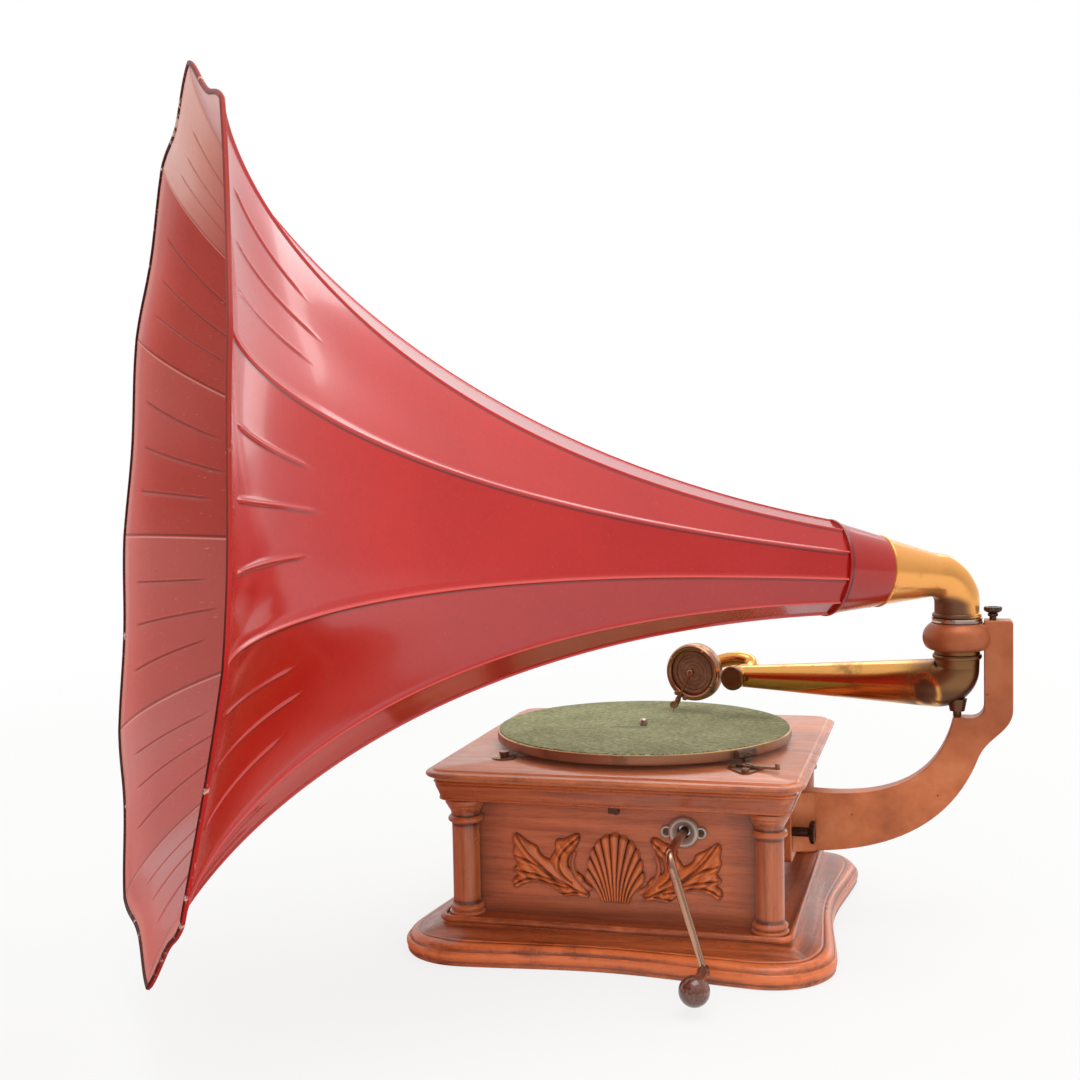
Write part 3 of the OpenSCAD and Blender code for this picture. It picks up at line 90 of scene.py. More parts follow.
def add_node(tree, kind, *inputs, stops=(), **settings):
    """Adds a node. Inputs are given by place, and after them by name or number in a dict, as a value, a
    hex colour, an output, or a node, which stands for its first output in use. Stops fill a ramp."""
    node = tree.nodes.new("ShaderNode" + kind)
    for name, value in settings.items():
        setattr(node, name, value)
    placed = [value for value in inputs if not isinstance(value, dict)]
    named = [value for value in inputs if isinstance(value, dict)]
    for key, value in [*enumerate(placed), *(pair for some in named for pair in some.items())]:
        if isinstance(value, bpy.types.Node):
            value = next(output for output in value.outputs if output.enabled)
        if isinstance(value, bpy.types.NodeSocket):
            tree.links.new(value, node.inputs[key])
        else:
            node.inputs[key].default_value = linear(value) if isinstance(value, str) else value
    for number, (at, tone) in enumerate(stops):
        ramp = node.color_ramp.elements
        stop = ramp[number] if number < 2 else ramp.new(1.0)
        stop.color = linear(tone) if isinstance(tone, str) else (tone, tone, tone, 1.0)
        stop.position = at
    return node


def cleared(tree):
    """Empties a tree and gives the function that adds nodes to it."""
    tree.nodes.clear()
    return partial(add_node, tree)


def new_finish(name):
    """An empty material, the function that adds its nodes, and the object's own coordinates."""
    finish = bpy.data.materials.new(name)
    finish.use_nodes = True
    add = cleared(finish.node_tree)
    return finish, add, add("TexCoord").outputs["Object"]


def close_finish(add, inputs):
    """Ends a material with the Principled shader, whose inputs are given."""
    add("OutputMaterial", {"Surface": add("BsdfPrincipled", inputs)})


print("red lacquer in linear light:", [round(v, 3) for v in linear("#c4282c")])

# %% [markdown]
# Every piece is a net of points: n rows by m columns, with quads between neighbours. A net can
# close on itself along one way, as a tube does, or along both, as a ring does. The same few
# functions then make turned wood, bent tube, spun brass and mouldings. Modelling by hand would
# work too, but numbers keep each piece on the sizes of the frame.

# %% Nets of points
def net(points, close_rows=False, close_columns=False):
    """Quads that join each point to the next in its row and in its column."""
    n, m = points.shape[:2]
    i = np.arange(n if close_rows else n - 1)[:, None]
    j = np.arange(m if close_columns else m - 1)[None, :]
    i2, j2 = (i + 1) % n, (j + 1) % m
    quads = np.stack([i * m + j, i2 * m + j, i2 * m + j2, i * m + j2], -1).reshape(-1, 4)
    return points.reshape(-1, 3), [quads]


def join(*shapes):
    """Several shapes as one: the faces of each are counted on from the points before it."""
    starts = np.cumsum([0] + [len(points) for points, _ in shapes])
    blocks = [block + start for (_, faces), start in zip(shapes, starts) for block in faces]
    return np.vstack([points for points, _ in shapes]), blocks


def move(shape, turn=np.eye(3), by=(0, 0, 0)):
    """The shape turned by a matrix, then carried along."""
    return shape[0] @ np.asarray(turn, float).T + np.asarray(by, float), shape[1]


def turn_about(axis, degrees):
    """Matrix that turns about x, y or z."""
    c, s = np.cos(np.radians(degrees)), np.sin(np.radians(degrees))
    return np.array({"x": [[1, 0, 0], [0, c, -s], [0, s, c]], "y": [[c, 0, s], [0, 1, 0], [-s, 0, c]],
                     "z": [[c, -s, 0], [s, c, 0], [0, 0, 1]]}[axis])


def soften(line, times=2, closed=False):
    """Cuts corners: each stretch gives points at a quarter and three quarters of its length."""
    line = np.asarray(line, float)
    for _ in range(times):
        a, b = (line, np.roll(line, -1, 0)) if closed else (line[:-1], line[1:])
        cut = np.stack([0.75 * a + 0.25 * b, 0.25 * a + 0.75 * b], 1).reshape(-1, line.shape[1])
        line = cut if closed else np.vstack([line[:1], cut, line[-1:]])
    return line


def lathe(profile, columns=96, rounds=0, ring=False):
    """Turns a profile of [radius, height] about the z axis, after its corners are cut that many times;
    a ring's profile is a closed loop away from the axis."""
    profile = soften(profile, rounds, closed=ring)
    a = np.linspace(0, 2 * np.pi, columns, endpoint=False)
    r, z = profile[:, :1], np.repeat(profile[:, 1:2], columns, 1)
    return net(np.stack([r * np.cos(a), r * np.sin(a), z], -1), ring, True)


def tube_rings(path, radii, side, columns=48):
    """Circles round a path: across it lie u, the side made square to the path, and v = path x u."""
    path = np.asarray(path, float)
    along = np.gradient(path, axis=0)
    along /= np.linalg.norm(along, axis=1, keepdims=True)
    side = np.asarray(side, float)
    u = side - (along @ side)[:, None] * along
    u /= np.linalg.norm(u, axis=1, keepdims=True)
    v = np.cross(along, u)
    a = np.linspace(0, 2 * np.pi, columns, endpoint=False)[None, :, None]
    r = np.asarray(radii, float)[:, None, None]
    return path[:, None] + r * (np.cos(a) * u[:, None] + np.sin(a) * v[:, None])


def rod(path, radii, side, columns=32):
    """A solid bar along a path, closed by two poles."""
    rings = tube_rings(path, radii, side, columns)
    ends = [np.repeat(np.asarray(path[i], float)[None, None], columns, 1) for i in (0, -1)]
    return net(np.concatenate([ends[0], rings, ends[1]]), close_columns=True)


def pipe(path, radii, wall, side, columns=64):
    """A hollow tube: the outer rings, then the inner rings on the way back."""
    outer = tube_rings(path, radii, side, columns)
    inner = tube_rings(path, np.asarray(radii) - wall, side, columns)[::-1]
    return net(np.concatenate([outer, inner]), True, True)


def bezier(a, b, c, d, t):
    """Cubic curve: a and d are its ends, b and c pull it."""
    t = np.asarray(t, float)[..., None]
    a, b, c, d = (np.asarray(p, float) for p in (a, b, c, d))
    return a * (1 - t) ** 3 + 3 * b * t * (1 - t) ** 2 + 3 * c * t ** 2 * (1 - t) + d * t ** 3


def slab(outline, low, high):
    """A flat outline given a thickness: two caps and a band of quads."""
    outline = np.asarray(outline, float)
    n = len(outline)
    points = np.vstack([np.c_[outline, np.full(n, low)], np.c_[outline, np.full(n, high)]])
    i = np.arange(n)
    band = np.stack([i, (i + 1) % n, (i + 1) % n + n, i + n], 1)
    return points, [band, i[::-1][None], (i + n)[None]]


def smooth_step(low, high, x):
    """0 below low, 1 above high and a soft S between them."""
    t = np.clip((x - low) / (high - low), 0, 1)
    return t * t * (3 - 2 * t)


print("a ring of", len(lathe([[1, 0], [2, 0], [2, 1]], ring=True)[0]), "points")

# %% [markdown]
# One function puts a shape into the scene. It merges the points that coincide, at poles and seams,
# turns all faces outwards, and shades smoothly except over sharp edges. It then hides the nodes of
# the frame that the piece stands for and hangs the piece on the body it rides.

# %% Put a piece into the scene
def put(name, shape, body, finishes, nodes=(), layers=None, choice=None, sharp=38, bevel=0):
    """Makes an object from a shape in millimetres; layers are numbers that the material reads."""
    points, blocks = shape
    faces = [face for block in blocks for face in block.tolist()]
    mesh = bpy.data.meshes.new(name)
    mesh.from_pydata((points / 1000).tolist(), [], faces)
    for key, values in (layers or {}).items():
        layer = mesh.attributes.new(key, "FLOAT", "POINT")
        layer.data.foreach_set("value", np.ascontiguousarray(values, np.float32).ravel())
    for finish in finishes if isinstance(finishes, list) else [finishes]:
        mesh.materials.append(finish)
    if choice is not None:
        mesh.polygons.foreach_set("material_index", np.asarray(choice, np.int32))
    work = bmesh.new()
    work.from_mesh(mesh)
    bmesh.ops.remove_doubles(work, verts=work.verts, dist=2e-6)
    bmesh.ops.recalc_face_normals(work, faces=work.faces)
    loose = sum(not edge.is_manifold for edge in work.edges)
    work.to_mesh(mesh)
    work.free()
    mesh.shade_smooth()
    mesh.set_sharp_from_angle(angle=np.radians(sharp))
    piece = bpy.data.objects.new(name, mesh)
    bpy.context.scene.collection.objects.link(piece)
    if bevel:
        edge = piece.modifiers.new("edge", "BEVEL")
        edge.width, edge.segments, edge.limit_method = bevel / 1000, 3, "ANGLE"
        edge.angle_limit = np.radians(sharp)
        edge.harden_normals = True
    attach(piece, body)
    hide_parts(*nodes)
    print(f"{name}: {len(mesh.vertices)} points, open edges {loose}")
    return piece

# %% [markdown]
# ## Wood
# The case is oak, stained orange-brown and varnished a century ago. Its grain is long pale and
# dark streaks with short open pores in them, so the noise is squeezed across the grain. On a
# mitred moulding the grain follows each side of the square, so the pattern turns with the larger
# of x and y. Handling has rubbed the proud edges to orange and filled the hollows with dark wax:
# each moulded piece carries a number called "worn" for that, above 0 on edges and below 0 in
# hollows. The flat panels have no such number: their painted shade and grime lie by the columns
# and along the top and bottom, at known places. Dull varnish scatters light at a flat angle, which
# the sheen gives.

# %% Stained oak
def stained_oak(name, dark, middle, pale, rubbed="#d1652d", mitred=False, along="x", gloss=0.36, pore=0.3,
                sheen=0.1, coat=0.2, edge_shade_and_grime=0.0):
    """Streaks 2 to 6 mm wide and a hand long, pores 0.4 mm wide and 5 mm long, wear clouds of 30 mm."""
    finish, add, place = new_finish(name)
    axes = add("SeparateXYZ", place).outputs
    first, second = (axes[0], axes[1]) if along == "x" else (axes[1], axes[0])
    grain = add("CombineXYZ", first, second, axes[2])
    if mitred:
        far = [add("Math", axes[i], operation="ABSOLUTE") for i in (0, 1)]
        side = add("Math", far[0], far[1], operation="GREATER_THAN")
        turned = add("CombineXYZ", axes[1], axes[0], axes[2])
        grain = add("Mix", side, {4: grain, 5: turned}, data_type="VECTOR")
    if along == "z":
        grain = add("CombineXYZ", axes[2], axes[0], axes[1])
    streak = add("Mapping", {"Vector": grain, "Scale": (7, 170, 170)})
    short = add("Mapping", {"Vector": grain, "Scale": (90, 1100, 1100)})
    bands = add("TexNoise", {"Vector": streak, "Scale": 1.0, "Detail": 8.0, "Roughness": 0.6,
                             "Distortion": 0.4})
    pores = add("TexNoise", {"Vector": short, "Scale": 1.0, "Detail": 2.0, "Roughness": 0.5})
    clouds = add("TexNoise", {"Vector": place, "Scale": 32.0, "Detail": 6.0, "Roughness": 0.68})
    tone = add("ValToRGB", bands, stops=[(0.3, dark), (0.5, middle), (0.72, pale)])
    dirt = add("ValToRGB", pores, stops=[(0.34, 0.25), (0.46, 1.0)])
    tone = add("Mix", pore, {6: tone, 7: dirt}, data_type="RGBA", blend_type="MULTIPLY")
    worn = add("Attribute", attribute_name="worn").outputs["Fac"]
    spread = add("MapRange", clouds, 0.3, 0.7, -0.25, 0.35)
    near = add("Math", worn, spread, operation="ADD")
    rub = add("MapRange", near, 0.25, 0.75, 0.0, 0.85)
    tone = add("Mix", rub, {6: tone, 7: rubbed}, data_type="RGBA")
    wax = add("MapRange", near, -0.3, -0.95, 0.0, 0.85)
    tone = add("Mix", wax, {6: tone, 7: "#35150a"}, data_type="RGBA")
    # On a panel, painted shade and grime darken it beside the columns and along the mouldings above and
    # below it
    if edge_shade_and_grime:
        width, deep = (add("Math", axes[i], operation="ABSOLUTE") for i in (0, 1))
        width = add("Math", width, deep, operation="MINIMUM")
        width = add("MapRange", width, 0.088, 0.112, 0.0, edge_shade_and_grime)
        tall = add("Math", axes[2], 0.083, operation="SUBTRACT")
        tall = add("Math", tall, operation="ABSOLUTE")
        tall = add("MapRange", tall, 0.036, 0.051, 0.0, edge_shade_and_grime)
        edges = add("Math", width, tall, operation="MAXIMUM")
        tone = add("Mix", edges, {6: tone, 7: "#4a2214"}, data_type="RGBA")
    bump = add("Bump", {"Strength": 0.3, "Distance": 0.0003, "Height": pores})
    bump = add("Bump", {"Strength": 0.25, "Distance": 0.0006, "Height": bands, "Normal": bump})
    dull = add("MapRange", clouds, 0.3, 0.7, gloss - 0.08, gloss + 0.16)
    close_finish(add, {"Base Color": tone, "Roughness": dull, "Normal": bump, "Coat Weight": coat,
                       "Coat Roughness": 0.2, "Sheen Weight": sheen, "Sheen Roughness": 0.4})
    return finish


case_oak = stained_oak("oak_moulding_red_stain", "#743218", "#9a4922", "#b86030", "#b55a2a", mitred=True,
                       gloss=0.26, sheen=0.0, coat=0.4)
foot_oak = stained_oak("oak_foot_red_stain", "#632c15", "#8d4423", "#ae5a31", "#d06a35", mitred=True,
                       gloss=0.3, pore=0.5, sheen=0.0, coat=0.15)
panel_oak = stained_oak("oak_panel_red_stain", "#8f4527", "#ac5833", "#bb663e", edge_shade_and_grime=0.55)
side_oak = stained_oak("oak_side_panel_red_stain", "#8f4527", "#ac5833", "#bb663e", along="y", edge_shade_and_grime=0.55)
lid_oak = stained_oak("oak_lid_red_stain", "#a1522c", "#bc673b", "#cc7a4c", "#5c2a18", gloss=0.34,
                      sheen=0.15)
column_oak = stained_oak("oak_column_red_stain", "#85401f", "#a2532c", "#b36234", "#a5532c", along="z",
                         gloss=0.3, coat=0.4)
carved_oak = stained_oak("oak_carving_red_stain", "#84401f", "#9d4c25", "#b05a2c", "#c7662e", along="z",
                         gloss=0.32)
board_wood = stained_oak("deal_bottom_board", "#6d4a2c", "#8d6541", "#a88258", "#a88258")
print("oak finishes: moulding, foot, panels, lid, columns, carving")

# %% [markdown]
# ## Metals
# A metal has no colour of its own under the surface: its base colour tints what it reflects. So
# each one here is a tint, a roughness, and a film of tarnish whose patches were worked out by
# noise. Old lacquered brass is golden where it is rubbed and brown where the lacquer has gone.

# %% Tarnished metals
def old_metal(name, bright, tarnish, smooth, dull, patch, amount=0.5, metallic=1.0):
    """patch is the size of a tarnish cloud in millimetres; amount is how much of it there is."""
    finish, add, place = new_finish(name)
    clouds = add("TexNoise", {"Vector": place, "Scale": 1000 / patch, "Detail": 6.0, "Roughness": 0.65})
    specks = add("TexNoise", {"Vector": place, "Scale": 900.0, "Detail": 2.0})
    film = add("MapRange", clouds, 0.66 - 0.3 * amount, 0.82 - 0.3 * amount, 0.0, 0.9)
    age = add("Attribute", attribute_name="tarnish_and_painted_reflection").outputs["Fac"]
    film = add("Math", film, age, operation="MAXIMUM", use_clamp=True)
    tone = add("Mix", film, {6: bright, 7: tarnish}, data_type="RGBA")
    rough = add("MapRange", film, 0.0, 1.0, smooth, dull)
    bump = add("Bump", {"Strength": 0.25, "Distance": 0.0002, "Height": specks})
    close_finish(add, {"Base Color": tone, "Metallic": metallic, "Roughness": rough, "Normal": bump})
    return finish


elbow_brass = old_metal("lacquered_spun_brass", "#f0a85c", "#74503a", 0.24, 0.42, 26, 0.1, 0.8)
arm_brass = old_metal("rubbed_drawn_brass", "#e2a35a", "#6b4c38", 0.15, 0.4, 30, 0.3)
box_bronze = old_metal("bronzed_zinc", "#ac8063", "#694736", 0.28, 0.45, 12, 0.4)
gear_brass = old_metal("cut_gear_brass", "#d8b062", "#8a6a33", 0.3, 0.5, 9, 0.3)
brake_brass = old_metal("brown_nickelled_brass", "#a98a72", "#5c4032", 0.32, 0.5, 5, 0.5)
nickel = old_metal("worn_nickel_plate", "#b9a497", "#6b5040", 0.22, 0.42, 9, 0.45)
crank_steel = old_metal("brown_rubbed_crank_steel", "#c4987e", "#6b4a38", 0.22, 0.42, 14, 0.35)
pewter = old_metal("cast_pewter_grey_zinc", "#b9aa9d", "#857565", 0.4, 0.55, 9, 0.35, 0.7)
dark_screw = old_metal("blackened_steel", "#5d4b41", "#33261f", 0.34, 0.55, 5, 0.5)
motor_steel = old_metal("rolled_motor_steel", "#8f9094", "#5b5a58", 0.4, 0.55, 20, 0.3)
bright_steel = old_metal("ground_bright_steel", "#c4c5c7", "#8b8886", 0.22, 0.4, 12, 0.2)
spring_steel = old_metal("blued_spring_steel", "#5f6c80", "#3f4450", 0.3, 0.45, 8, 0.3)
print("metal finishes: brass, bronze, nickel, pewter, steel")

# %% [markdown]
# ## Red horn lacquer
# The horn is tinplate sprayed with red lacquer: a strong colour under a clear, glossy skin, so it
# gets the Principled coat. A dim room mirrored in it looks deep red and a white floor looks milky,
# so the gloss must stay high and nearly even. Age shows as hair scratches that run every way and
# as chips in the lacquer near the rim. Each fold and crease has a painted highlight on its crown
# beside a thin dark line of painted shadow and grime. Inside the horn, painted shade, a painted
# sheen and a painted highlight on the top petal lie on the dusty lacquer. The horn's net stores the
# distance to the nearest seam in millimetres ("fold"), the reach from neck to mouth ("reach") and
# the side of the pressed creases ("crease": above 0 on the crown, below 0 in the shade beside it),
# and the material reads them.

# %% Lacquered tinplate
def horn_lacquer(name, deep, base, pale, grime_and_shade, gloss, coat, scratch=0.5, dust_and_painted_light=0.0, throat=0.0):
    """Clouds of 120 mm between two near tones, hair scratches 0.3 mm wide, chips of 1 to 3 mm; dust
    gives a sheen and also sets painted shade a little way in from the mouth, a painted sheen at the
    mouth's edge and a painted highlight on the top petal; throat darkens the narrow end."""
    finish, add, place = new_finish(name)
    fold = add("Attribute", attribute_name="fold").outputs["Fac"]
    reach = add("Attribute", attribute_name="reach").outputs["Fac"]
    crease = add("Attribute", attribute_name="crease").outputs["Fac"]
    clouds = add("TexNoise", {"Vector": place, "Scale": 8.0, "Detail": 4.0, "Roughness": 0.5})
    mottle = add("TexNoise", {"Vector": place, "Scale": 260.0, "Detail": 5.0, "Roughness": 0.7})
    tone = add("ValToRGB", clouds, stops=[(0.36, deep), (0.64, base)])
    # Painted shade: inside, the lacquer darkens a little way in from the mouth
    shaded = add("MapRange", reach, 0.8, 0.91, 7 * dust_and_painted_light, 0.0)
    tone = add("Mix", shaded, {6: tone, 7: "#8c2c22"}, data_type="RGBA")
    # Painted sheen: inside, the edge of the mouth is paler
    painted_sheen_at_mouth = add("MapRange", reach, 0.94, 0.98, 0.0, 4 * dust_and_painted_light)
    tone = add("Mix", painted_sheen_at_mouth, {6: tone, 7: "#cf8d7e"}, data_type="RGBA")
    # Painted highlight: inside, the top petal is paler towards the mouth
    faded = add("Attribute", attribute_name="faded").outputs["Fac"]
    faded = add("Math", faded, 10 * dust_and_painted_light, operation="MULTIPLY")
    tone = add("Mix", faded, {6: tone, 7: "#d09a88"}, data_type="RGBA")
    narrow = add("MapRange", reach, 0.05, 0.5, throat, 0.0)
    tone = add("Mix", narrow, {6: tone, 7: "#880c08"}, data_type="RGBA")
    speck = add("ValToRGB", mottle, stops=[(0.36, 0.8), (0.6, 1.0)])
    tone = add("Mix", 0.4, {6: tone, 7: speck}, data_type="RGBA", blend_type="MULTIPLY")
    marks = []
    for turn, seed in ((0.5, 3.0), (1.9, 11.0)):
        lines = add("Mapping", {"Vector": place, "Rotation": (turn, turn * 0.7, turn * 1.3),
                                "Scale": (14, 700, 700), "Location": (seed, seed, 0)})
        noise = add("TexNoise", {"Vector": lines, "Scale": 1.0, "Detail": 1.0})
        marks.append(add("MapRange", noise, 0.74, 0.79, 0.0, scratch))
    scratches = add("Math", marks[0], marks[1], operation="MAXIMUM")
    tone = add("Mix", scratches, {6: tone, 7: pale}, data_type="RGBA")
    # A thin dark line of painted shadow and grime lies on one side of each fold and beside each crease, and
    # the crown of each fold and crease has a painted highlight
    edge = add("Math", fold, -1.3, operation="SUBTRACT")
    edge = add("Math", edge, operation="ABSOLUTE")
    line = add("MapRange", edge, 0.3, 1.1, 0.75, 0.0)
    shade = add("MapRange", crease, 0.0, -1.0, 0.0, 0.7)
    line = add("Math", line, shade, operation="MAXIMUM")
    tone = add("Mix", line, {6: tone, 7: grime_and_shade}, data_type="RGBA")
    crown = add("Math", fold, 1.0, operation="SUBTRACT")
    crown = add("Math", crown, operation="ABSOLUTE")
    crown = add("MapRange", crown, 0.2, 1.1, 0.55, 0.0)
    painted_crease_highlight = add("MapRange", crease, 0.3, 1.0, 0.0, 0.25)
    crown = add("Math", crown, painted_crease_highlight, operation="MAXIMUM")
    tone = add("Mix", crown, {6: tone, 7: pale}, data_type="RGBA")
    # Chips near the mouth
    rim = add("MapRange", reach, 0.97, 1.0, 0.0, 0.15)
    chips = add("Math", mottle, rim, operation="ADD")
    chips = add("MapRange", chips, 0.72, 0.74, 0.0, 0.9)
    tone = add("Mix", chips, {6: tone, 7: "#3d1a17"}, data_type="RGBA")
    rough = add("MapRange", clouds, 0.35, 0.7, gloss, gloss + 0.05)
    ripple = add("TexNoise", {"Vector": place, "Scale": 16.0, "Detail": 1.0})
    bump = add("Bump", {"Strength": 0.1, "Distance": 0.002, "Height": ripple})
    close_finish(add, {"Base Color": tone, "Roughness": rough, "Normal": bump, "Coat Weight": coat,
                       "Coat Roughness": 0.06, "Sheen Weight": dust_and_painted_light, "Sheen Roughness": 0.5})
    return finish


horn_outside = horn_lacquer("red_lacquer_on_tinplate", "#a91510", "#b41a12", "#d95850", "#4a0f10", 0.17, 0.3,
                            0.3, throat=0.6)
horn_inside = horn_lacquer("dusty_red_lacquer_inside_painted_light", "#a1372d", "#ae4237", "#c98a7c", "#501c17", 0.33, 0.1,
                           0.35, 0.08)
neck_lacquer = horn_lacquer("red_lacquer_on_neck", "#8c1309", "#98180c", "#b8302a", "#1c0504", 0.2, 0.2,
                            0.25)
print("horn finishes: outside, inside, neck")


def wire_lacquer(name):
    """The side of the wire that faces the mouth is dark maroon, grime and painted shade, the outer side is
    red; both are chipped. Higher up on the near side both tones are painted paler.
    """
    finish, add, place = new_finish(name)
    inward = add("Attribute", attribute_name="inward").outputs["Fac"]
    flakes = add("TexNoise", {"Vector": place, "Scale": 110.0, "Detail": 5.0, "Roughness": 0.7})
    where = add("TexNoise", {"Vector": place, "Scale": 9.0, "Detail": 2.0})
    side = add("Math", flakes, 0.3, operation="MULTIPLY")
    side = add("Math", side, inward, operation="ADD")
    side = add("MapRange", side, 0.42, 0.52, 0.0, 1.0)
    # Painted light: higher up on the near side the wire's tones are paler
    depth = add("SeparateXYZ", place).outputs[1]
    near = add("MapRange", depth, -0.28, -0.42, 0.0, 1.0)
    height = add("SeparateXYZ", place).outputs[2]
    high = add("MapRange", height, 0.3, 0.42, 0.0, 1.0)
    near = add("Math", near, high, operation="MULTIPLY")
    grime_and_shade = add("Mix", near, {6: "#3a0d09", 7: "#6d2a23"}, data_type="RGBA")
    lacquer = add("Mix", near, {6: "#a01713", 7: "#8d2c25"}, data_type="RGBA")
    tone = add("Mix", side, {6: lacquer, 7: grime_and_shade}, data_type="RGBA")
    bare = add("Math", flakes, where, operation="MULTIPLY")
    bare = add("MapRange", bare, 0.3, 0.33, 0.0, 0.9)
    tone = add("Mix", bare, {6: tone, 7: "#c9a99b"}, data_type="RGBA")
    close_finish(add, {"Base Color": tone, "Roughness": 0.5, "Specular IOR Level": 0.12})
    return finish


rim_lacquer = wire_lacquer("rim_wire_lacquer_grime_and_painted_shade")

# %% [markdown]
# The bracket is cast iron in copper-orange bronze paint, the crank knob is turned beech under
# brown varnish, and the felt is pressed wool. The felt needs fibres: three stretched noises in
# crossing directions, pale and dark, and a sheen for the fuzz that lights up at a flat angle.

# %% Bronze paint, knob varnish, felt, leather and mica
def bronze_paint(name):
    """Satin paint with metal flakes, orange-peel ripples of 3 mm and chips of 1 to 2 mm."""
    finish, add, place = new_finish(name)
    clouds = add("TexNoise", {"Vector": place, "Scale": 26.0, "Detail": 5.0, "Roughness": 0.6})
    grit = add("TexNoise", {"Vector": place, "Scale": 420.0, "Detail": 3.0})
    spots = add("TexVoronoi", {"Vector": place, "Scale": 60.0})
    tone = add("ValToRGB", clouds, stops=[(0.3, "#9c5230"), (0.52, "#bb6a40"), (0.75, "#cb8258")])
    height = add("SeparateXYZ", place).outputs[2]
    # Darker from 130 to 190 mm up
    darker_higher_up = add("MapRange", height, 0.13, 0.19, 0.0, 0.45)
    tone = add("Mix", darker_higher_up, {6: tone, 7: "#7a3a1f"}, data_type="RGBA")
    chips = add("MapRange", spots, 0.045, 0.06, 0.8, 0.0)
    tone = add("Mix", chips, {6: tone, 7: "#4c2a1d"}, data_type="RGBA")
    rough = add("MapRange", clouds, 0.3, 0.7, 0.34, 0.5)
    bump = add("Bump", {"Strength": 0.3, "Distance": 0.0004, "Height": grit})
    close_finish(add, {"Base Color": tone, "Roughness": rough, "Metallic": 0.45, "Normal": bump})
    return finish


def knob_varnish(name):
    """Dark brown gloss with fine grain."""
    finish, add, place = new_finish(name)
    lines = add("Mapping", {"Vector": place, "Scale": (500, 60, 500)})
    grain = add("TexNoise", {"Vector": lines, "Scale": 1.0, "Detail": 5.0})
    tone = add("ValToRGB", grain, stops=[(0.3, "#3c1f17"), (0.55, "#5d3427"), (0.8, "#7a4a38")])
    close_finish(add, {"Base Color": tone, "Roughness": 0.25, "Coat Weight": 0.7, "Coat Roughness": 0.06})
    return finish


def pressed_felt(name):
    """Wool fibres 2 to 6 mm long, drawn 0.4 mm thick, in three directions."""
    finish, add, place = new_finish(name)
    fibres = []
    for turn in (0.3, 1.35, 2.4):
        lines = add("Mapping", {"Vector": place, "Rotation": (0, 0, turn), "Scale": (260, 1300, 400)})
        fibres.append(add("TexNoise", {"Vector": lines, "Scale": 1.0, "Detail": 2.0}))
    fuzz = add("Math", fibres[0], fibres[1], operation="MAXIMUM")
    fuzz = add("Math", fuzz, fibres[2], operation="MAXIMUM")
    worn = add("TexNoise", {"Vector": place, "Scale": 28.0, "Detail": 4.0, "Roughness": 0.6})
    tone = add("ValToRGB", fuzz, stops=[(0.45, "#41482d"), (0.57, "#75774f"), (0.7, "#b5b088")])
    age = add("ValToRGB", worn, stops=[(0.3, "#b3ad8c"), (0.62, "#ffffff")])
    tone = add("Mix", 0.6, {6: tone, 7: age}, data_type="RGBA", blend_type="MULTIPLY")
    # A small dark smudge in front of the spindle
    spot = add("Mapping", {"Vector": place, "Location": (0.35, 1.6, 0), "Scale": (52, 130, 0),
                           "Rotation": (0, 0, 0.1)})
    spot = add("VectorMath", spot, operation="LENGTH")
    spot = add("MapRange", spot, 0.3, 1.1, 0.6, 0.0)
    tone = add("Mix", spot, {6: tone, 7: "#2e3520"}, data_type="RGBA")
    bump = add("Bump", {"Strength": 0.8, "Distance": 0.0007, "Height": fuzz})
    close_finish(add, {"Base Color": tone, "Roughness": 0.95, "Normal": bump, "Sheen Weight": 0.3,
                       "Sheen Roughness": 0.6, "Sheen Tint": "#b9bd96"})
    return finish


def plain_finish(name, dark, pale, size, rough):
    """Soft clouds between two tones; size is a cloud in millimetres."""
    finish, add, place = new_finish(name)
    clouds = add("TexNoise", {"Vector": place, "Scale": 1000 / size, "Detail": 5.0})
    tone = add("ValToRGB", clouds, stops=[(0.35, dark), (0.65, pale)])
    bump = add("Bump", {"Strength": 0.4, "Distance": 0.0003, "Height": clouds})
    close_finish(add, {"Base Color": tone, "Roughness": rough, "Normal": bump})
    return finish


bracket_paint = bronze_paint("copper_bronze_paint_on_iron")
knob_wood = knob_varnish("varnished_beech_knob")
felt_wool = pressed_felt("pressed_wool_felt")
pad_leather = plain_finish("brake_pad_leather", "#3a261b", "#5d4230", 3, 0.7)
mica = plain_finish("brown_mica_diaphragm", "#6b4330", "#7d523b", 6, 0.3)
platter_brown = old_metal("browned_platter_steel", "#94664a", "#6a4430", 0.34, 0.45, 30, 0.35, 0.6)
platter_edge = old_metal("rubbed_platter_edge", "#c79a6c", "#7b5236", 0.3, 0.45, 12, 0.35, 0.9)
print("other finishes: bronze paint, knob, felt, leather, mica, platter")

# %% [markdown]
# ## The case
# A moulding is one profile carried round a square with rounded corners. In a workshop it is
# planed in lengths and mitred; here a row of the net is one step along the profile and a column
# is one step round the square. The number "worn" comes from the profile itself: where it bulges
# past the average of its neighbours it is a proud edge, where it falls short it is a hollow.

# %% Mouldings of the case
deck_z, panel_face, carving_z = 28.5, 117.0, 42.2
crank_x, crank_z = 55.5, 102.5
post_x, horn_z, horn_way, horn_tilt = 263, 295.1, 214.9, -6


def bulge(profile, reach=5):
    """How far each point lies outside the average of the points some steps to both sides."""
    profile = np.asarray(profile, float)
    n = len(profile)
    ends = np.clip(np.arange(n)[:, None] + np.arange(-reach, reach + 1)[None], 0, n - 1)
    offset = profile - profile[ends].mean(1)
    along = np.gradient(profile, axis=0)
    outward = np.c_[along[:, 1], -along[:, 0]]
    outward /= np.linalg.norm(outward, axis=1, keepdims=True) + 1e-9
    return np.clip((offset * outward).sum(1) / 0.35, -1, 1)


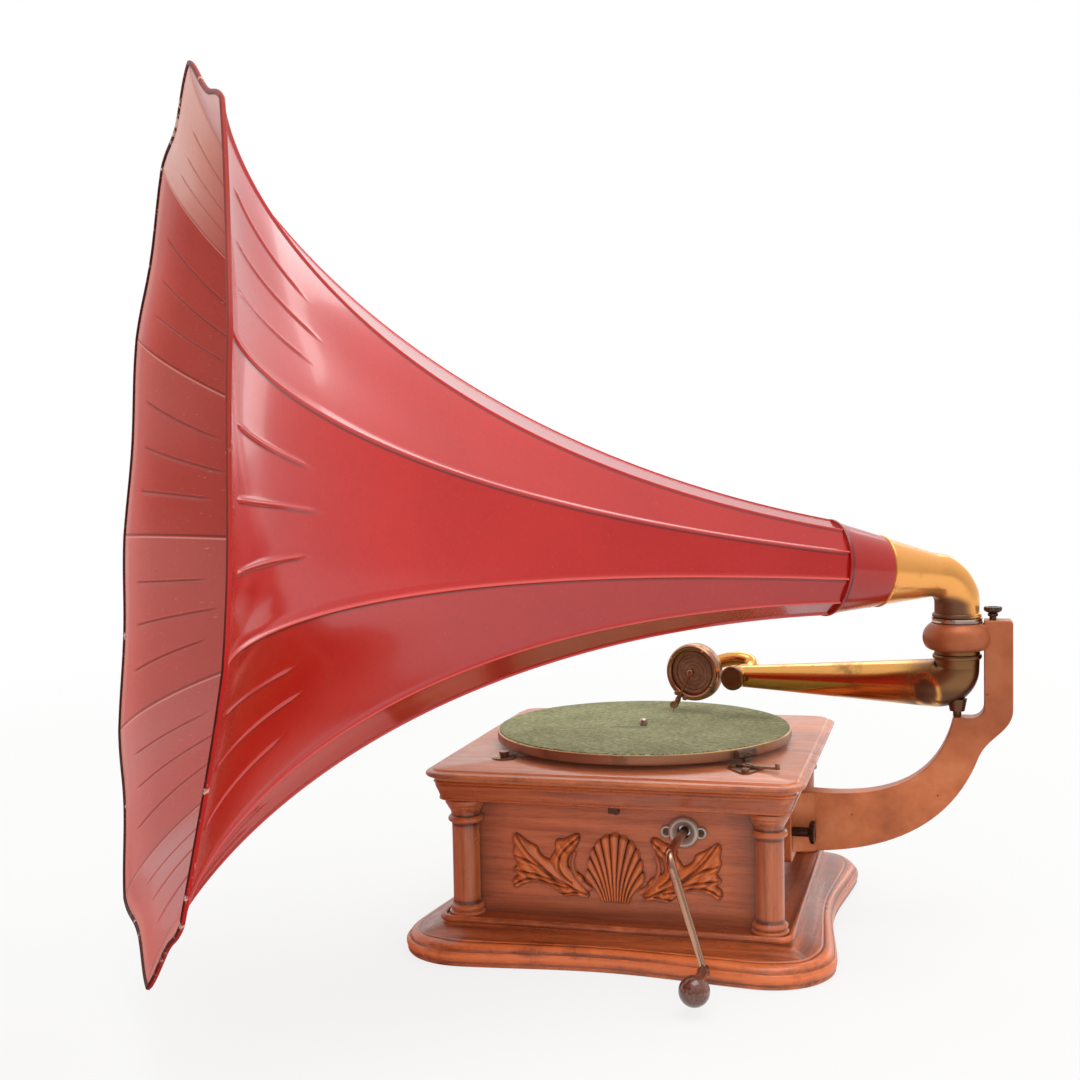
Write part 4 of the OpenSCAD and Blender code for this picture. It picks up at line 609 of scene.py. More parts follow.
def square_walk(corner=132, straight=14, round_steps=14):
    """Centres and directions round a square: the centre moves on the sides, the direction at corners."""
    a = np.radians(np.linspace(0, 90, round_steps))
    sides = []
    for k in range(4):
        c, nxt = (corner * np.sqrt(2) * np.array([np.cos(b), np.sin(b)])
                  for b in np.radians([90 * k + 45, 90 * k + 135]))
        f = np.linspace(0, 1, straight + 2)[1:-1, None]
        turn = a + np.radians(90 * k)
        sides.append(np.c_[np.repeat(c[None], round_steps, 0), np.cos(turn), np.sin(turn)])
        ahead = [[np.cos(turn[-1]), np.sin(turn[-1])]]
        sides.append(np.c_[c + (nxt - c) * f, np.repeat(ahead, straight, 0)])
    return np.vstack(sides)


def moulding(profile, inner):
    """Carries [out, height] round the square; inner is [distance, height] pairs of the inside."""
    walk = square_walk()
    profile = np.asarray(profile, float)
    outer = walk[None, :, :2] + profile[:, None, :1] * walk[None, :, 2:]
    outer = np.concatenate([outer, np.repeat(profile[:, 1][:, None, None], len(walk), 1)], 2)
    edge = outer[0, :, :2]
    reach = np.abs(edge).max(1, keepdims=True)
    rows = [outer]
    for distance, height in inner:
        row = edge / (reach if distance > 20 else np.linalg.norm(edge, axis=1, keepdims=True)) * distance
        rows.append(np.c_[row, np.full(len(row), float(height))][None])
    worn = np.concatenate([bulge(profile), np.zeros(len(inner))])
    return net(np.concatenate(rows), True, True), np.repeat(worn, len(walk))


cornice_line = soften([[7.6, 124], [9.6, 124.6], [10.2, 125.8], [9.4, 127], [9.8, 128.4], [11, 131.5],
                       [12.6, 134.6], [13.4, 137], [12.8, 137.8], [14.4, 138.8], [14.6, 139.8], [13.4, 141]],
                       3)
cornice, cornice_worn = moulding(cornice_line, [[108, 141], [108, 124]])
put("cornice_moulding", cornice, "case", case_oak, ["cornice"], {"worn": cornice_worn})

lid_line = soften([[13.6, 141], [14.8, 142.6], [17.4, 143.4], [20, 144.4], [20.9, 146], [20.2, 147.6],
                   [18.2, 148.4], [16.4, 148.4], [15, 149], [14.2, 149.9], [13.6, 150.3]], 3)
lid, lid_worn = moulding(lid_line, [[12, 150.3], [12, 141]])
put("lid_board_moulded", lid, "case", lid_oak, ["lid_board"], {"worn": lid_worn})

# %% [markdown]
# The plinth bows in on each side and swells into lobes at the corners, so a plain offset won't
# do. Each ring of its net is a blend of two outlines: the rounded square that carries the panels
# and the lobed outline of the foot. The foot's rings take most of the lobed one.

# %% Plinth
def to_middle(a):
    """The angle from the middle of the nearest side, 0 to 45 degrees in radians."""
    fold = np.mod(a, np.pi / 2)
    return np.minimum(fold, np.pi / 2 - fold)


def square_at(half, corner, a):
    """Distance to a rounded square's edge: half / cos on the flats, a circle's edge at the corners."""
    fold = to_middle(a)
    c = half - corner
    flat_part = half / np.cos(fold)
    round_part = c * (np.cos(fold) + np.sin(fold)) + np.sqrt(
        np.maximum(corner ** 2 - (c * (np.cos(fold) - np.sin(fold))) ** 2, 0))
    return np.where(half * np.tan(fold) <= c, flat_part, round_part)


def lobed_at(a):
    """The foot's outline: a rounded square drawn in by 13 mm at the middle of each side."""
    fold = to_middle(a)
    return square_at(175.5, 58, a) - 13 * (1 - np.minimum(1, (np.tan(fold) / 0.85) ** 2)) ** 2


def plinth_net():
    """Rings of share of the lobed outline, height and half width of the square inside."""
    rings = soften([[0.93, 0, 143], [0.965, 0.8, 143], [0.975, 2.4, 143], [0.96, 3.4, 143],
                    [0.985, 4.4, 143], [1, 6.6, 143], [1, 8.6, 143], [0.975, 10.8, 143], [0.945, 11.6, 143],
                    [0.925, 11.4, 143], [0.915, 12.6, 143], [0.88, 14.8, 143], [0.8, 16.6, 143],
                    [0.7, 17.3, 143], [0.63, 16.9, 143], [0.61, 17.9, 143], [0.5, 18.5, 143],
                    [0.36, 19.8, 143], [0.2, 21.6, 142.4], [0.04, 23.6, 141], [0, 24.8, 140.6],
                    [0, 25.8, 142.2], [0, 27.6, 143], [0, 29.4, 142.6], [0, 30.7, 141.2], [0, 30.4, 139],
                    [0, 28.5, 138.6]], 2)
    a = np.radians(np.arange(0, 360, 1.0))
    share, height, half = rings[:, 0:1], rings[:, 1], rings[:, 2:3]
    d = (1 - share) * square_at(half, half - (half - 10), a[None]) + share * lobed_at(a)[None]
    outer = np.stack([d * np.cos(a), d * np.sin(a), np.repeat(height[:, None], len(a), 1)], -1)
    inner = [[100, 28.5], [100, 7.6], [108, 7.6], [108, 0]]
    rows = [np.stack([square_at(w, 0.2, a) * np.cos(a), square_at(w, 0.2, a) * np.sin(a),
                      np.full(len(a), float(z))], -1)[None] for w, z in inner]
    line = np.c_[d[:, 0], height]
    crest = 0.5 * np.exp(-((height - 8) / 3.2) ** 2) * (line[:, 0] > 150)
    worn = np.concatenate([bulge(line, 4) * np.where(height > 22, 0.35, 1) + crest, np.zeros(4)])
    return net(np.concatenate([outer] + rows), True, True), np.repeat(worn, len(a))


plinth, plinth_worn = plinth_net()
put("plinth_lobed", plinth, "case", foot_oak, ["plinth"], {"worn": plinth_worn})

# %% [markdown]
# The corner columns were turned on a lathe and quartered over the corners of the box, so each is
# a profile spun about an upright axis. The hidden part simply runs into the panels.

# %% Columns
def column_line(r=11.5, h=95.5):
    """Base ring, shaft, necking ring and spreading capital, as [radius, height]."""
    return soften([[0, 0], [0, 0], [r + 3, 0], [r + 3.3, 1.4], [r + 2.6, 2.8], [r + 1, 3.2], [r + 1.2, 3.8],
                   [r + 2.4, 5.2], [r + 2.2, 7.2], [r + 0.7, 8.2], [r - 0.2, 9.4], [r - 0.4, 14],
                   [r - 0.4, h - 24], [r - 0.2, h - 20.6], [r + 0.4, h - 19.8], [r + 2.4, h - 18.8],
                   [r + 2.8, h - 16.8], [r + 1.8, h - 14.8], [r + 0.2, h - 14.2], [r + 0.2, h - 11.6],
                   [r + 1, h - 9.6], [r + 2.8, h - 7.2], [r + 3.2, h - 5.6], [r + 4.2, h - 4.8],
                   [r + 5, h - 2.6], [r + 4.6, h], [0, h], [0, h]], 2)


one_column = lathe(column_line(), 72)
columns = join(*[move(one_column, by=(x * 123.4, y * 123.4, deck_z + 0.05))
                 for x in (-1, 1) for y in (-1, 1)])
column_worn = np.tile(np.repeat(bulge(column_line(), 4), 72), 4)
put("corner_columns_turned", columns, "case", column_oak, ["corner_columns"],
    {"worn": column_worn})

# %% [markdown]
# ## Carving
# A carver cuts the shell and the leaves from a thin board and glues them on. Each is a height
# over the panel. The shell's ribs are lines on which one number stays the same: across a rib the
# height rises in a half circle and drops into a sharp groove. The leaves follow no such rule, so
# their outline and veins are listed as points, and the height comes from the distance to both. The
# same numbers say where the wax has stayed dark and where the tops are rubbed bright.

# %% Shell
def relief_net(top, depth, low=0.0):
    """A closed skin: the carved top, and its copy pressed flat against the panel behind it."""
    back = top.copy()
    back[..., 1] = low
    n, m = top.shape[:2]
    points = np.concatenate([top.reshape(-1, 3), back.reshape(-1, 3)])
    quads = net(top)[1][0]
    i = np.arange(n * m).reshape(n, m)
    border = np.concatenate([i[:-1, 0], i[-1, :-1], i[:0:-1, -1], i[0, :0:-1]])
    ahead = np.roll(border, -1)
    wall = np.stack([border, border + n * m, ahead + n * m, ahead], 1)
    skin = points, [quads, (quads + n * m)[:, ::-1], wall]
    return skin, np.concatenate([depth.ravel(), -np.ones(n * m)])


def shell():
    """A palmette of eleven ribs, each numbered i: it starts 2 i from the middle, rises steeply and bends
    out as a share of height^1.6, up to the height where the outline cuts it."""
    i = np.linspace(-5.5, 5.5, 177)[:, None]
    t = 1 - (1 - np.linspace(0, 1, 80)[None, :]) ** 1.4
    swell = np.sqrt(np.clip(1 - (2 * ((i + 0.5) % 1) - 1) ** 2, 0, 1))
    steps = [0, 0.5, 1.5, 2.5, 3.5, 4.5, 5.5]
    top = np.interp(np.abs(i), steps, [56.5, 56, 52.5, 46, 38, 28, 17]) * (0.965 + 0.045 * swell)
    bend_out = np.interp(np.abs(i), steps, [0, 0.005, 0.0155, 0.027, 0.041, 0.066, 0.125])
    z = top * t
    x = 2.0 * i + np.sign(i) * bend_out * z ** 1.6
    dome = 3.2 + 1.6 * np.cos(i * 0.27) * np.sin(np.pi * np.minimum(1, 0.25 + 0.65 * t))
    ends = smooth_step(0, 0.04, t) * smooth_step(1, 0.955, t)
    height = (dome + 2.6 * swell * np.minimum(1, 0.35 + 2 * t)) * (0.3 + 0.7 * ends)
    return relief_net(np.stack([x, -height, z + 0 * i], -1), 2.3 * (swell - 0.72) - 0.7 * (1 - ends))


shell_shape, shell_worn = shell()
put("carved_shell_ribbed", move(shell_shape, by=(0, -panel_face, carving_z)), "case", carved_oak,
    ["carved_shell"], {"worn": shell_worn}, sharp=60)


# %% Leaves
leaf_outline = [[83.3, 54.1], [76.9, 49.9], [72.1, 46.4], [67.8, 44.6], [64.0, 42.6], [62.8, 37.6],
                [59.0, 34.3], [54.5, 32.6], [52.8, 36.7], [49.7, 40.3], [50.7, 44.9], [47.9, 50.3],
                [42.8, 49.6], [37.9, 52.3], [32.8, 55.2], [28.4, 54.2], [28.8, 49.1], [31.4, 43.7],
                [34.1, 39.9], [37.2, 37.0], [39.0, 32.2], [39.0, 26.9], [35.5, 25.2], [31.0, 23.4],
                [26.6, 20.5], [24.5, 15.5], [22.8, 9.4], [21.0, 2.5], [27.2, 2.9], [34.5, 3.9], [41.4, 2.4],
                [46.9, 5.1], [50.3, 9.0], [56.6, 11.9], [62.8, 13.6], [68.6, 13.4], [74.5, 11.0],
                [79.3, 8.6], [83.3, 6.3], [86.6, 11.2], [85.2, 16.2], [80.3, 18.6], [85.2, 21.2],
                [85.2, 24.3], [81.4, 27.0], [83.8, 31.6], [85.9, 36.8], [84.1, 42.8], [86.2, 47.1]]
leaf_veins = [[[23.8, 5.3], [34.1, 10.5], [46.2, 16.3], [60.7, 26.1], [72.8, 37.9], [82.1, 51.3]],
              [[42.8, 14.0], [54.5, 17.0], [66.9, 20.6], [83.1, 22.8]],
              [[39.0, 10.3], [51.4, 12.7], [65.2, 16.3], [75.5, 15.9], [83.8, 10.6]],
              [[35.5, 15.2], [43.4, 20.8], [46.9, 28.2], [45.2, 36.7], [39.0, 43.8], [30.0, 51.9]],
              [[47.9, 14.7], [56.6, 22.2], [68.6, 30.2], [82.8, 34.4]],
              [[30.7, 7.5], [39.3, 5.6], [45.2, 5.1]]]


def nearest(points, line, closed=False):
    """Each point's distance to a line of segments, and the point of the line that is nearest."""
    line = np.asarray(line, float)
    a, b = (line, np.roll(line, -1, 0)) if closed else (line[:-1], line[1:])
    along = b - a
    s = np.clip(((points[:, None] - a) * along).sum(-1) / (along ** 2).sum(-1), 0, 1)
    foot = a + s[..., None] * along
    apart = np.linalg.norm(points[:, None] - foot, axis=-1)
    best = apart.argmin(1)
    every = np.arange(len(points))
    return apart[every, best], foot[every, best]


def leaf_spray(mirror=1, cell=0.6):
    """A grid over the drawn outline; cells outside are dropped and the border is drawn onto the line.
    The height rises like 1 - e^(-distance to the edge), and drops into a groove along each vein."""
    line = soften(leaf_outline, 2, closed=True)
    low, high = line.min(0) - cell, line.max(0) + cell
    x, z = np.meshgrid(np.arange(low[0], high[0], cell), np.arange(low[1], high[1], cell), indexing="ij")
    at = np.stack([x.ravel(), z.ravel()], -1)
    ahead = np.roll(line, -1, 0)
    spans = (line[:, 1] > at[:, 1:]) != (ahead[:, 1] > at[:, 1:])
    rise = np.where(ahead[:, 1] == line[:, 1], 1e-9, ahead[:, 1] - line[:, 1])
    crossing = line[:, 0] + (at[:, 1:] - line[:, 1]) / rise * (ahead[:, 0] - line[:, 0])
    inside = (spans & (at[:, :1] < crossing)).sum(1) % 2 == 1
    edge, foot = nearest(at, line, closed=True)
    at, edge = np.where(inside[:, None], at, foot), np.where(inside, edge, 0)
    vein = np.min([nearest(at, soften(row, 2))[0] for row in leaf_veins], axis=0)
    groove = np.exp(-(vein / 0.75) ** 2)
    rolls = np.sin(0.62 * at[:, 0] - 0.5 * at[:, 1]) * smooth_step(0.5, 3, edge)
    beside = np.exp(-((vein - 2.2) / 1.2) ** 2)
    height = 0.7 + 4.4 * (1 - np.exp(-edge / 1.8)) + 0.6 * rolls + 1.1 * beside - 2.0 * groove
    height = np.where(inside, np.maximum(height, 0.7), 0.7)
    worn = 0.8 * smooth_step(0.8, 2.5, edge) + 0.5 * rolls - 1.5 * groove - 0.9 * smooth_step(1.2, 0.2, edge)
    i = np.arange(x.size).reshape(x.shape)
    cells = np.stack([i[:-1, :-1], i[1:, :-1], i[1:, 1:], i[:-1, 1:]], -1).reshape(-1, 4)
    used, quads = np.unique(cells[inside[cells].any(1)], return_inverse=True)
    quads, count = quads.reshape(-1, 4), len(used)
    sides = np.stack([quads, np.roll(quads, -1, 1)], -1).reshape(-1, 2)
    a, b = sides[~np.isin(sides[:, 0] * count + sides[:, 1], sides[:, 1] * count + sides[:, 0])].T
    faces = [quads, (quads + count)[:, ::-1], np.stack([b, a, a + count, b + count], 1)]
    flat = at[used]
    points = np.concatenate([np.c_[mirror * flat[:, 0], -height[used], flat[:, 1]],
                             np.c_[mirror * flat[:, 0], 0 * flat[:, 0], flat[:, 1]]])
    stalk = bezier([20, 10], [32, 16], [39, 26], [33, 40], np.linspace(0, 1, 24))
    stem = rod(np.c_[mirror * stalk[:, 0], 0 * stalk[:, 0] - 2.6, stalk[:, 1]], np.linspace(2.6, 1.5, 24),
               [0, 1, 0], 16)
    tones = np.concatenate([worn[used], -np.ones(count), np.full(len(stem[0]), -0.1)])
    return join((points, faces if mirror > 0 else [f[:, ::-1] for f in faces]), stem), tones


left, left_worn = leaf_spray(-1)
right, right_worn = leaf_spray(1)
ear_out, hub_z = 13.7, crank_z - carving_z
near = np.hypot(right[0][:, 0] - crank_x, right[0][:, 2] - hub_z)
ears = np.hypot(np.abs(right[0][:, 0] - crank_x) - ear_out, right[0][:, 2] - hub_z)
pressed = np.maximum(smooth_step(15.2, 13.8, near), smooth_step(5.8, 4.8, ears))
right[0][:, 1] = right[0][:, 1] * (1 - pressed) - 0.02 * pressed
leaves = move(join(left, right), by=(0, -panel_face, carving_z))
put("carved_leaves_acanthus", leaves, "case", carved_oak, ["carved_leaves"],
    {"worn": np.concatenate([left_worn, right_worn])}, sharp=60)

# %% [markdown]
# ## Turntable
# The platter is a pressed steel dish with a rolled rim, painted brown, whose top edge is rubbed
# down to brass-coloured metal. The felt is a disc of cloth glued to it with a hole for the
# spindle. The felt lies flat, so its sheet is a thin closed disc with a soft rounded edge.

# %% Platter, felt and spindle
platter_line = soften([[4.5, 163.2], [125.0, 163.2], [125.8, 163.5], [126.7, 163.2], [127, 162.2],
                       [127, 156.4], [126.6, 155.3], [125.4, 155.2], [124.7, 156], [124.6, 161.4],
                       [11, 161.6], [11, 153.2], [4.5, 153.2]], 2, closed=True)
platter = lathe(platter_line, 180, ring=True)
middle = (platter_line + np.roll(platter_line, -1, 0)) / 2
edge_band = (middle[:, 0] > 124.5) & (middle[:, 1] > 162.3)
put("platter_rolled_rim", platter, "turntable", [platter_brown, platter_edge], ["turntable_platter"],
    choice=np.repeat(edge_band.astype(int), 180))

felt_line = soften([[4.9, 163.22], [125.4, 163.22], [125.4, 163.9], [125.0, 164.3], [5.2, 164.3],
                    [4.9, 164.1]], 1, closed=True)
felt = put("felt_disc", lathe(felt_line, 180, ring=True), "turntable", felt_wool, ["turntable_felt"])

spindle_line = [[0, 44], [3.5, 44], [3.5, 48], [4.5, 48], [4.5, 164.1], [3.5, 164.1], [3.5, 168.0],
                [3.1, 169.1], [2.1, 169.8], [0, 169.9]]
put("spindle_ground", lathe(spindle_line, 48), "turntable", nickel, ["spindle"])

# %% [markdown]
# ## Crank
# The crank is one steel bar bent at the escutcheon, tapered to the eye, with a turned knob that
# spins on a pin. A bar on a path is a sweep: circles set square to the path at each step. The
# path is straight, then a quarter circle, then straight again.

# %% Crank, knob and escutcheon
lean = np.radians(17.8)
arm_dir = np.array([np.sin(lean), 0, -np.cos(lean)])
crank_corner = np.array([crank_x, -186.0, crank_z])
eye = np.array([crank_x, -190.0, crank_z]) + 88.6 * arm_dir
bend_r = 11
knee = crank_corner + [0, bend_r, 0]
bend = np.radians(np.linspace(0, 90, 15))[:, None]
shaft_run = np.linspace([crank_x, -107, crank_z], knee, 12)[:-1]
knee_curve = knee + bend_r * ((1 - np.cos(bend)) * arm_dir - np.sin(bend) * np.array([0, 1.0, 0]))
arm_line = np.linspace(crank_corner + bend_r * arm_dir, eye + [0, 4, 0] - 3.4 * arm_dir, 16)[1:]
arm_line[:, 1] = np.linspace(crank_corner[1], eye[1], len(arm_line))
crank_path = np.vstack([shaft_run, knee_curve, arm_line])
past = len(shaft_run) + len(knee_curve)
thickness = np.interp(np.arange(len(crank_path)), [0, past, len(crank_path) - 1], [3.6, 3.6, 2.5])
bar = rod(crank_path, thickness, np.cross([0, 1, 0], arm_dir))
eye_line = soften([[0, -3], [3.2, -3], [4, -2.4], [4, 2.4], [3.2, 3], [0, 3]], 1)
to_front = turn_about("x", 90)
boss = move(lathe(eye_line, 40), to_front, eye)
pin = move(lathe([[0, 0], [1.8, 0], [1.8, 41.5], [1.2, 42], [0, 42]], 24), to_front, eye + [0, -3, 0])
put("crank_bar_bent", join(bar, boss, pin), "crank", crank_steel, ["crank_rod"])

knob_ball = np.radians(np.linspace(-52, 84, 26))
knob_ball = np.c_[11.4 * np.cos(knob_ball), 40.6 + 11.4 * np.sin(knob_ball)]
knob_line = np.vstack([[[1.9, 0], [4.2, 0], [4.7, 0.7], [5.0, 2], [4.7, 3.2], [4.4, 4]],
                       bezier([4.4, 6], [4.4, 16], [5.4, 22], knob_ball[0], np.linspace(0, 1, 14))[:-1],
                       knob_ball, [[0, 52]]])
bore = [[0, 42.4], [1.9, 42.4]]
put("crank_knob_turned", move(lathe(np.vstack([bore, knob_line]), 64), to_front, eye + [0, -3.35, 0]),
    "knob", knob_wood, ["crank_knob"])

ring_line = soften([[5.2, 0], [12.4, 0], [12.7, 2.6], [11.6, 4.2], [10.2, 5.0], [8.6, 4.7], [5.6, 1.8],
                    [5.2, 1.4]], 2, closed=True)
ear_line = soften([[1.4, 0], [5, 0], [5, 2.8], [4.3, 3.5], [3, 3.4], [2.6, 2.1], [1.4, 2.0]], 1, closed=True)
plate = join(lathe(ring_line, 72, ring=True),
             *[move(lathe(ear_line, 32, ring=True), by=(x, 0, 0)) for x in (-ear_out, ear_out)])
put("crank_escutcheon_cast", move(plate, to_front, (crank_x, -117.02, crank_z)), "case", pewter,
    ["crank_escutcheon"])

# %% [markdown]
# ## Bracket
# The bracket is one iron casting: a flange against the case, a curved arm that rises to a post,
# a shelf for the foot of the tone arm, and the ring that carries the horn. Its side view is one
# outline of four curves, cut from an 18 mm slab, and the edges are rounded with a bevel, because
# a casting has no sharp ones. The ring and the round lug are turned shapes.

# %% Bracket and its screws
def line_of(*parts):
    """One closed outline from curves and single points, with doubled points dropped."""
    points = np.vstack([np.atleast_2d(np.asarray(part, float)) for part in parts])
    keep = np.linalg.norm(points - np.roll(points, 1, 0), axis=1) > 0.2
    return points[keep]


def arc(centre, radius, start, end, steps=10):
    """Points on a circle between two angles in degrees."""
    a = np.radians(np.linspace(start, end, steps))
    return np.c_[centre[0] + radius * np.cos(a), centre[1] + radius * np.sin(a)]


s = np.linspace(0, 1, 25)
bracket_side = line_of(
    bezier([130, 115], [195, 109], [245, 118], [259.6, 178], s), [[259.6, 180], [274.2, 180]],
    arc((274.2, 190), 10, -90, 0), [[284.2, 260.1]], arc((303.8, 257.1), 3, 90, 0),
    bezier([306.8, 188], [306.8, 170], [289, 166], [281, 150], s),
    bezier([280, 148], [258, 88], [205, 63], [130, 63], s))
stand_up = turn_about("x", 90)
arm_plate = move(slab(bracket_side, -9, 9), stand_up)
ring_profile = soften([[18.21, 235], [21.6, 235], [25.4, 237.4], [27.4, 242], [27.6, 246.6], [26.4, 251.4],
                       [23.4, 255], [20.4, 257.5], [18.21, 257.5], [18.21, 246]], 2, closed=True)
ring_profile[:, 0] = np.maximum(ring_profile[:, 0], 18.21)
support_ring = move(lathe(ring_profile, 96, ring=True), by=(post_x, 0, 0))
web = move(slab([[276, -14], [287, -9], [287, 9], [276, 14]], 237, 256.5))
flange_outline = line_of(arc((-25, -26), 5, 180, 270), arc((25, -26), 5, 270, 360), arc((25, 26), 5, 0, 90),
                         arc((-25, 26), 5, 90, 180))
flange = move(slab(flange_outline, 117.02, 130), np.array([[0, 0, 1], [1, 0, 0], [0, 1, 0]]), (0, 0, 88))
f = np.linspace(0, 1, 9)
root_side = line_of(bezier([0, -17], [4, -14], [10, -9.6], [18, -9], f),
                    bezier([18, 9], [10, 9.6], [4, 14], [0, 17], f))
root = move(slab(root_side, 63, 113), by=(129.5, 0, 0))
put("bracket_cast_iron", join(arm_plate, web, flange, root), "case", bracket_paint, ["bracket"],
    bevel=2.4, sharp=30)
put("bracket_ring_cast", support_ring, "case", bracket_paint)


def thumb_head(radius, thick, notches, steps=12):
    """A flat knurled head: the rim's radius drops by 0.45 mm at each notch."""
    a = np.linspace(0, 2 * np.pi, notches * steps, endpoint=False)
    dent = 0.45 * np.exp(-(((a * notches / (2 * np.pi)) % 1 - 0.5) / 0.2) ** 2)
    rows = [[0, 0, 0], [0.4, 0, 0], [0.7, 0.0, 0.3], [0.97, 0.3, 1], [1, 0.42, 1], [1, 0.9, 1],
            [0.94, 1, 0.8], [0.5, 1.0, 0], [0.45, 0.9, 0], [0, 0.9, 0]]
    rings = [np.stack([(share * radius - cut * dent) * np.cos(a), (share * radius - cut * dent) * np.sin(a),
                       np.full(len(a), up * thick)], -1) for share, up, cut in rows]
    return net(np.stack(rings), close_columns=True)


to_side = turn_about("y", 90)
side_screw = join(lathe([[0, 0], [4, 0], [4, 26.4], [0, 26.4]], 40),
                  move(thumb_head(9.6, 5, 20), by=(0, 0, 26)))
put("bracket_thumbscrew_knurled", move(side_screw, to_side, (118, -24, 83)), "side_screw", dark_screw,
    ["bracket_thumbscrew"])
lock_nut = [[0, 262.7], [3.4, 262.7], [4.2, 263.4], [4.2, 265], [3.4, 265.7], [0, 265.7]]
lock_screw = join(lathe([[0, 247.1], [2.8, 247.1], [2.8, 267], [0, 267]], 40), lathe(lock_nut, 40, 1),
                  move(thumb_head(7.2, 4.4, 16), by=(0, 0, 266.1)))
put("horn_lock_screw_knurled", move(lock_screw, by=(291.2, 0, 0)), "lock_screw", dark_screw,
    ["horn_lock_screw"])

# %% [markdown]
# ## The horn
# Eleven sheets of tinplate are folded together along their edges and rolled over a wire at the
# mouth. Seen along the axis a petal is an arc that sags towards the chord between its two seams,
# so the radius is the profile's radius less a bow that is largest in the petal's middle. Knocks
# have bent the mouth a few millimetres forward or back at each seam. The profile is one cubic
# curve from the neck to the mouth. The net is finer where something happens: close to each seam,
# and over the three creases pressed into every petal. The same numbers that lift the metal there
# are stored for the lacquer, as "fold", "crease" and "reach".

# %% Petals
petals, seam_at, mouth_r = 11, 21.0, 298.8
horn_turn = turn_about("z", horn_way) @ turn_about("y", horn_tilt)
horn_by = (post_x, 0, horn_z)


def horn_line(t):
    """Distance along the axis and radius: a cubic curve, and its unit slope."""
    ends = [[123, 36.9], [504.6, 73.6], [623.3, 250.1], [633, 298.8]]
    p = bezier(*ends, t)
    d = bezier(*ends, np.minimum(1, t + 0.01)) - bezier(*ends, np.maximum(0, t - 0.01))
    return p, d / np.linalg.norm(d, axis=-1, keepdims=True)


bends = np.array([3.4, 1.9, 4.4, 1.7, 2.4, -1.1, -2.3, -2.1, -3.2, -1.7, -3.3])


def bent_rim(turn):
    """How far the mouth has been knocked forward at each seam, in mm, eased from seam to seam."""
    k, ease = np.floor(turn).astype(int), (1 - np.cos(np.pi * (turn % 1))) / 2
    return bends[k % petals] * (1 - ease) + bends[(k + 1) % petals] * ease


def petal_point(turn, t, lift):
    """radius = profile x (1 - 0.0405 bow) from the neck on, a deeper and rounder sag at the mouth."""
    p, d = horn_line(t)
    out = (p[..., 1] / mouth_r) ** 3
    bow = 1 - (2 * (turn % 1) - 1) ** 2
    wave = (1 - np.cos(2 * np.pi * turn)) / 2
    sag = 0.0405 * bow * (1 - out) + (0.0292 * bow + 0.0306 * wave - 0.0115) * out
    r = p[..., 1] * (1 - sag) + lift * d[..., 0]
    a = np.radians(seam_at + turn * 360 / petals)
    knock = 1.1 + bent_rim(turn) + 2 * np.sin(a) - 2.7 * np.cos(a) - 1.6 * wave
    return np.stack([p[..., 0] + out * knock - lift * d[..., 1], r * np.cos(a), r * np.sin(a)], -1)


creases = ((0.25, 0.17, 0.645), (0.505, 0.07, 0.62), (0.765, -0.10, 0.645))


def across_petal(width, t):
    """Places across a petal from 0 to 1 for rows of that width: bunched at the seam and the creases."""
    shrink = np.minimum(1, width / 60)[:, None]
    w, back = width[:, None], np.clip(0.95 - t, 0, 0.4)[:, None]
    seam = np.array([-2.2, -1.5, -1.1, -0.7, -0.2, 0.3, 0.7, 1.0, 1.3, 1.7, 2.2, 2.8])[None] * shrink / w
    near_crease = np.array([-3.6, -2.6, -1.9, -1.1, -0.5, 0, 0.5, 1.1, 1.9, 3.4])[None] * shrink / w
    groups, last = [seam], seam[:, -1:]
    for middle_at, drift, _ in creases:
        cluster = middle_at + drift * back + near_crease
        groups += [last + (cluster[:, :1] - last) * np.linspace(0, 1, 7)[None, 1:-1], cluster]
        last = cluster[:, -1:]
    end = 1 + seam[:, :1]
    groups.append(last + (end - last) * np.linspace(0, 1, 7)[None, 1:-1])
    return np.concatenate(groups, 1)


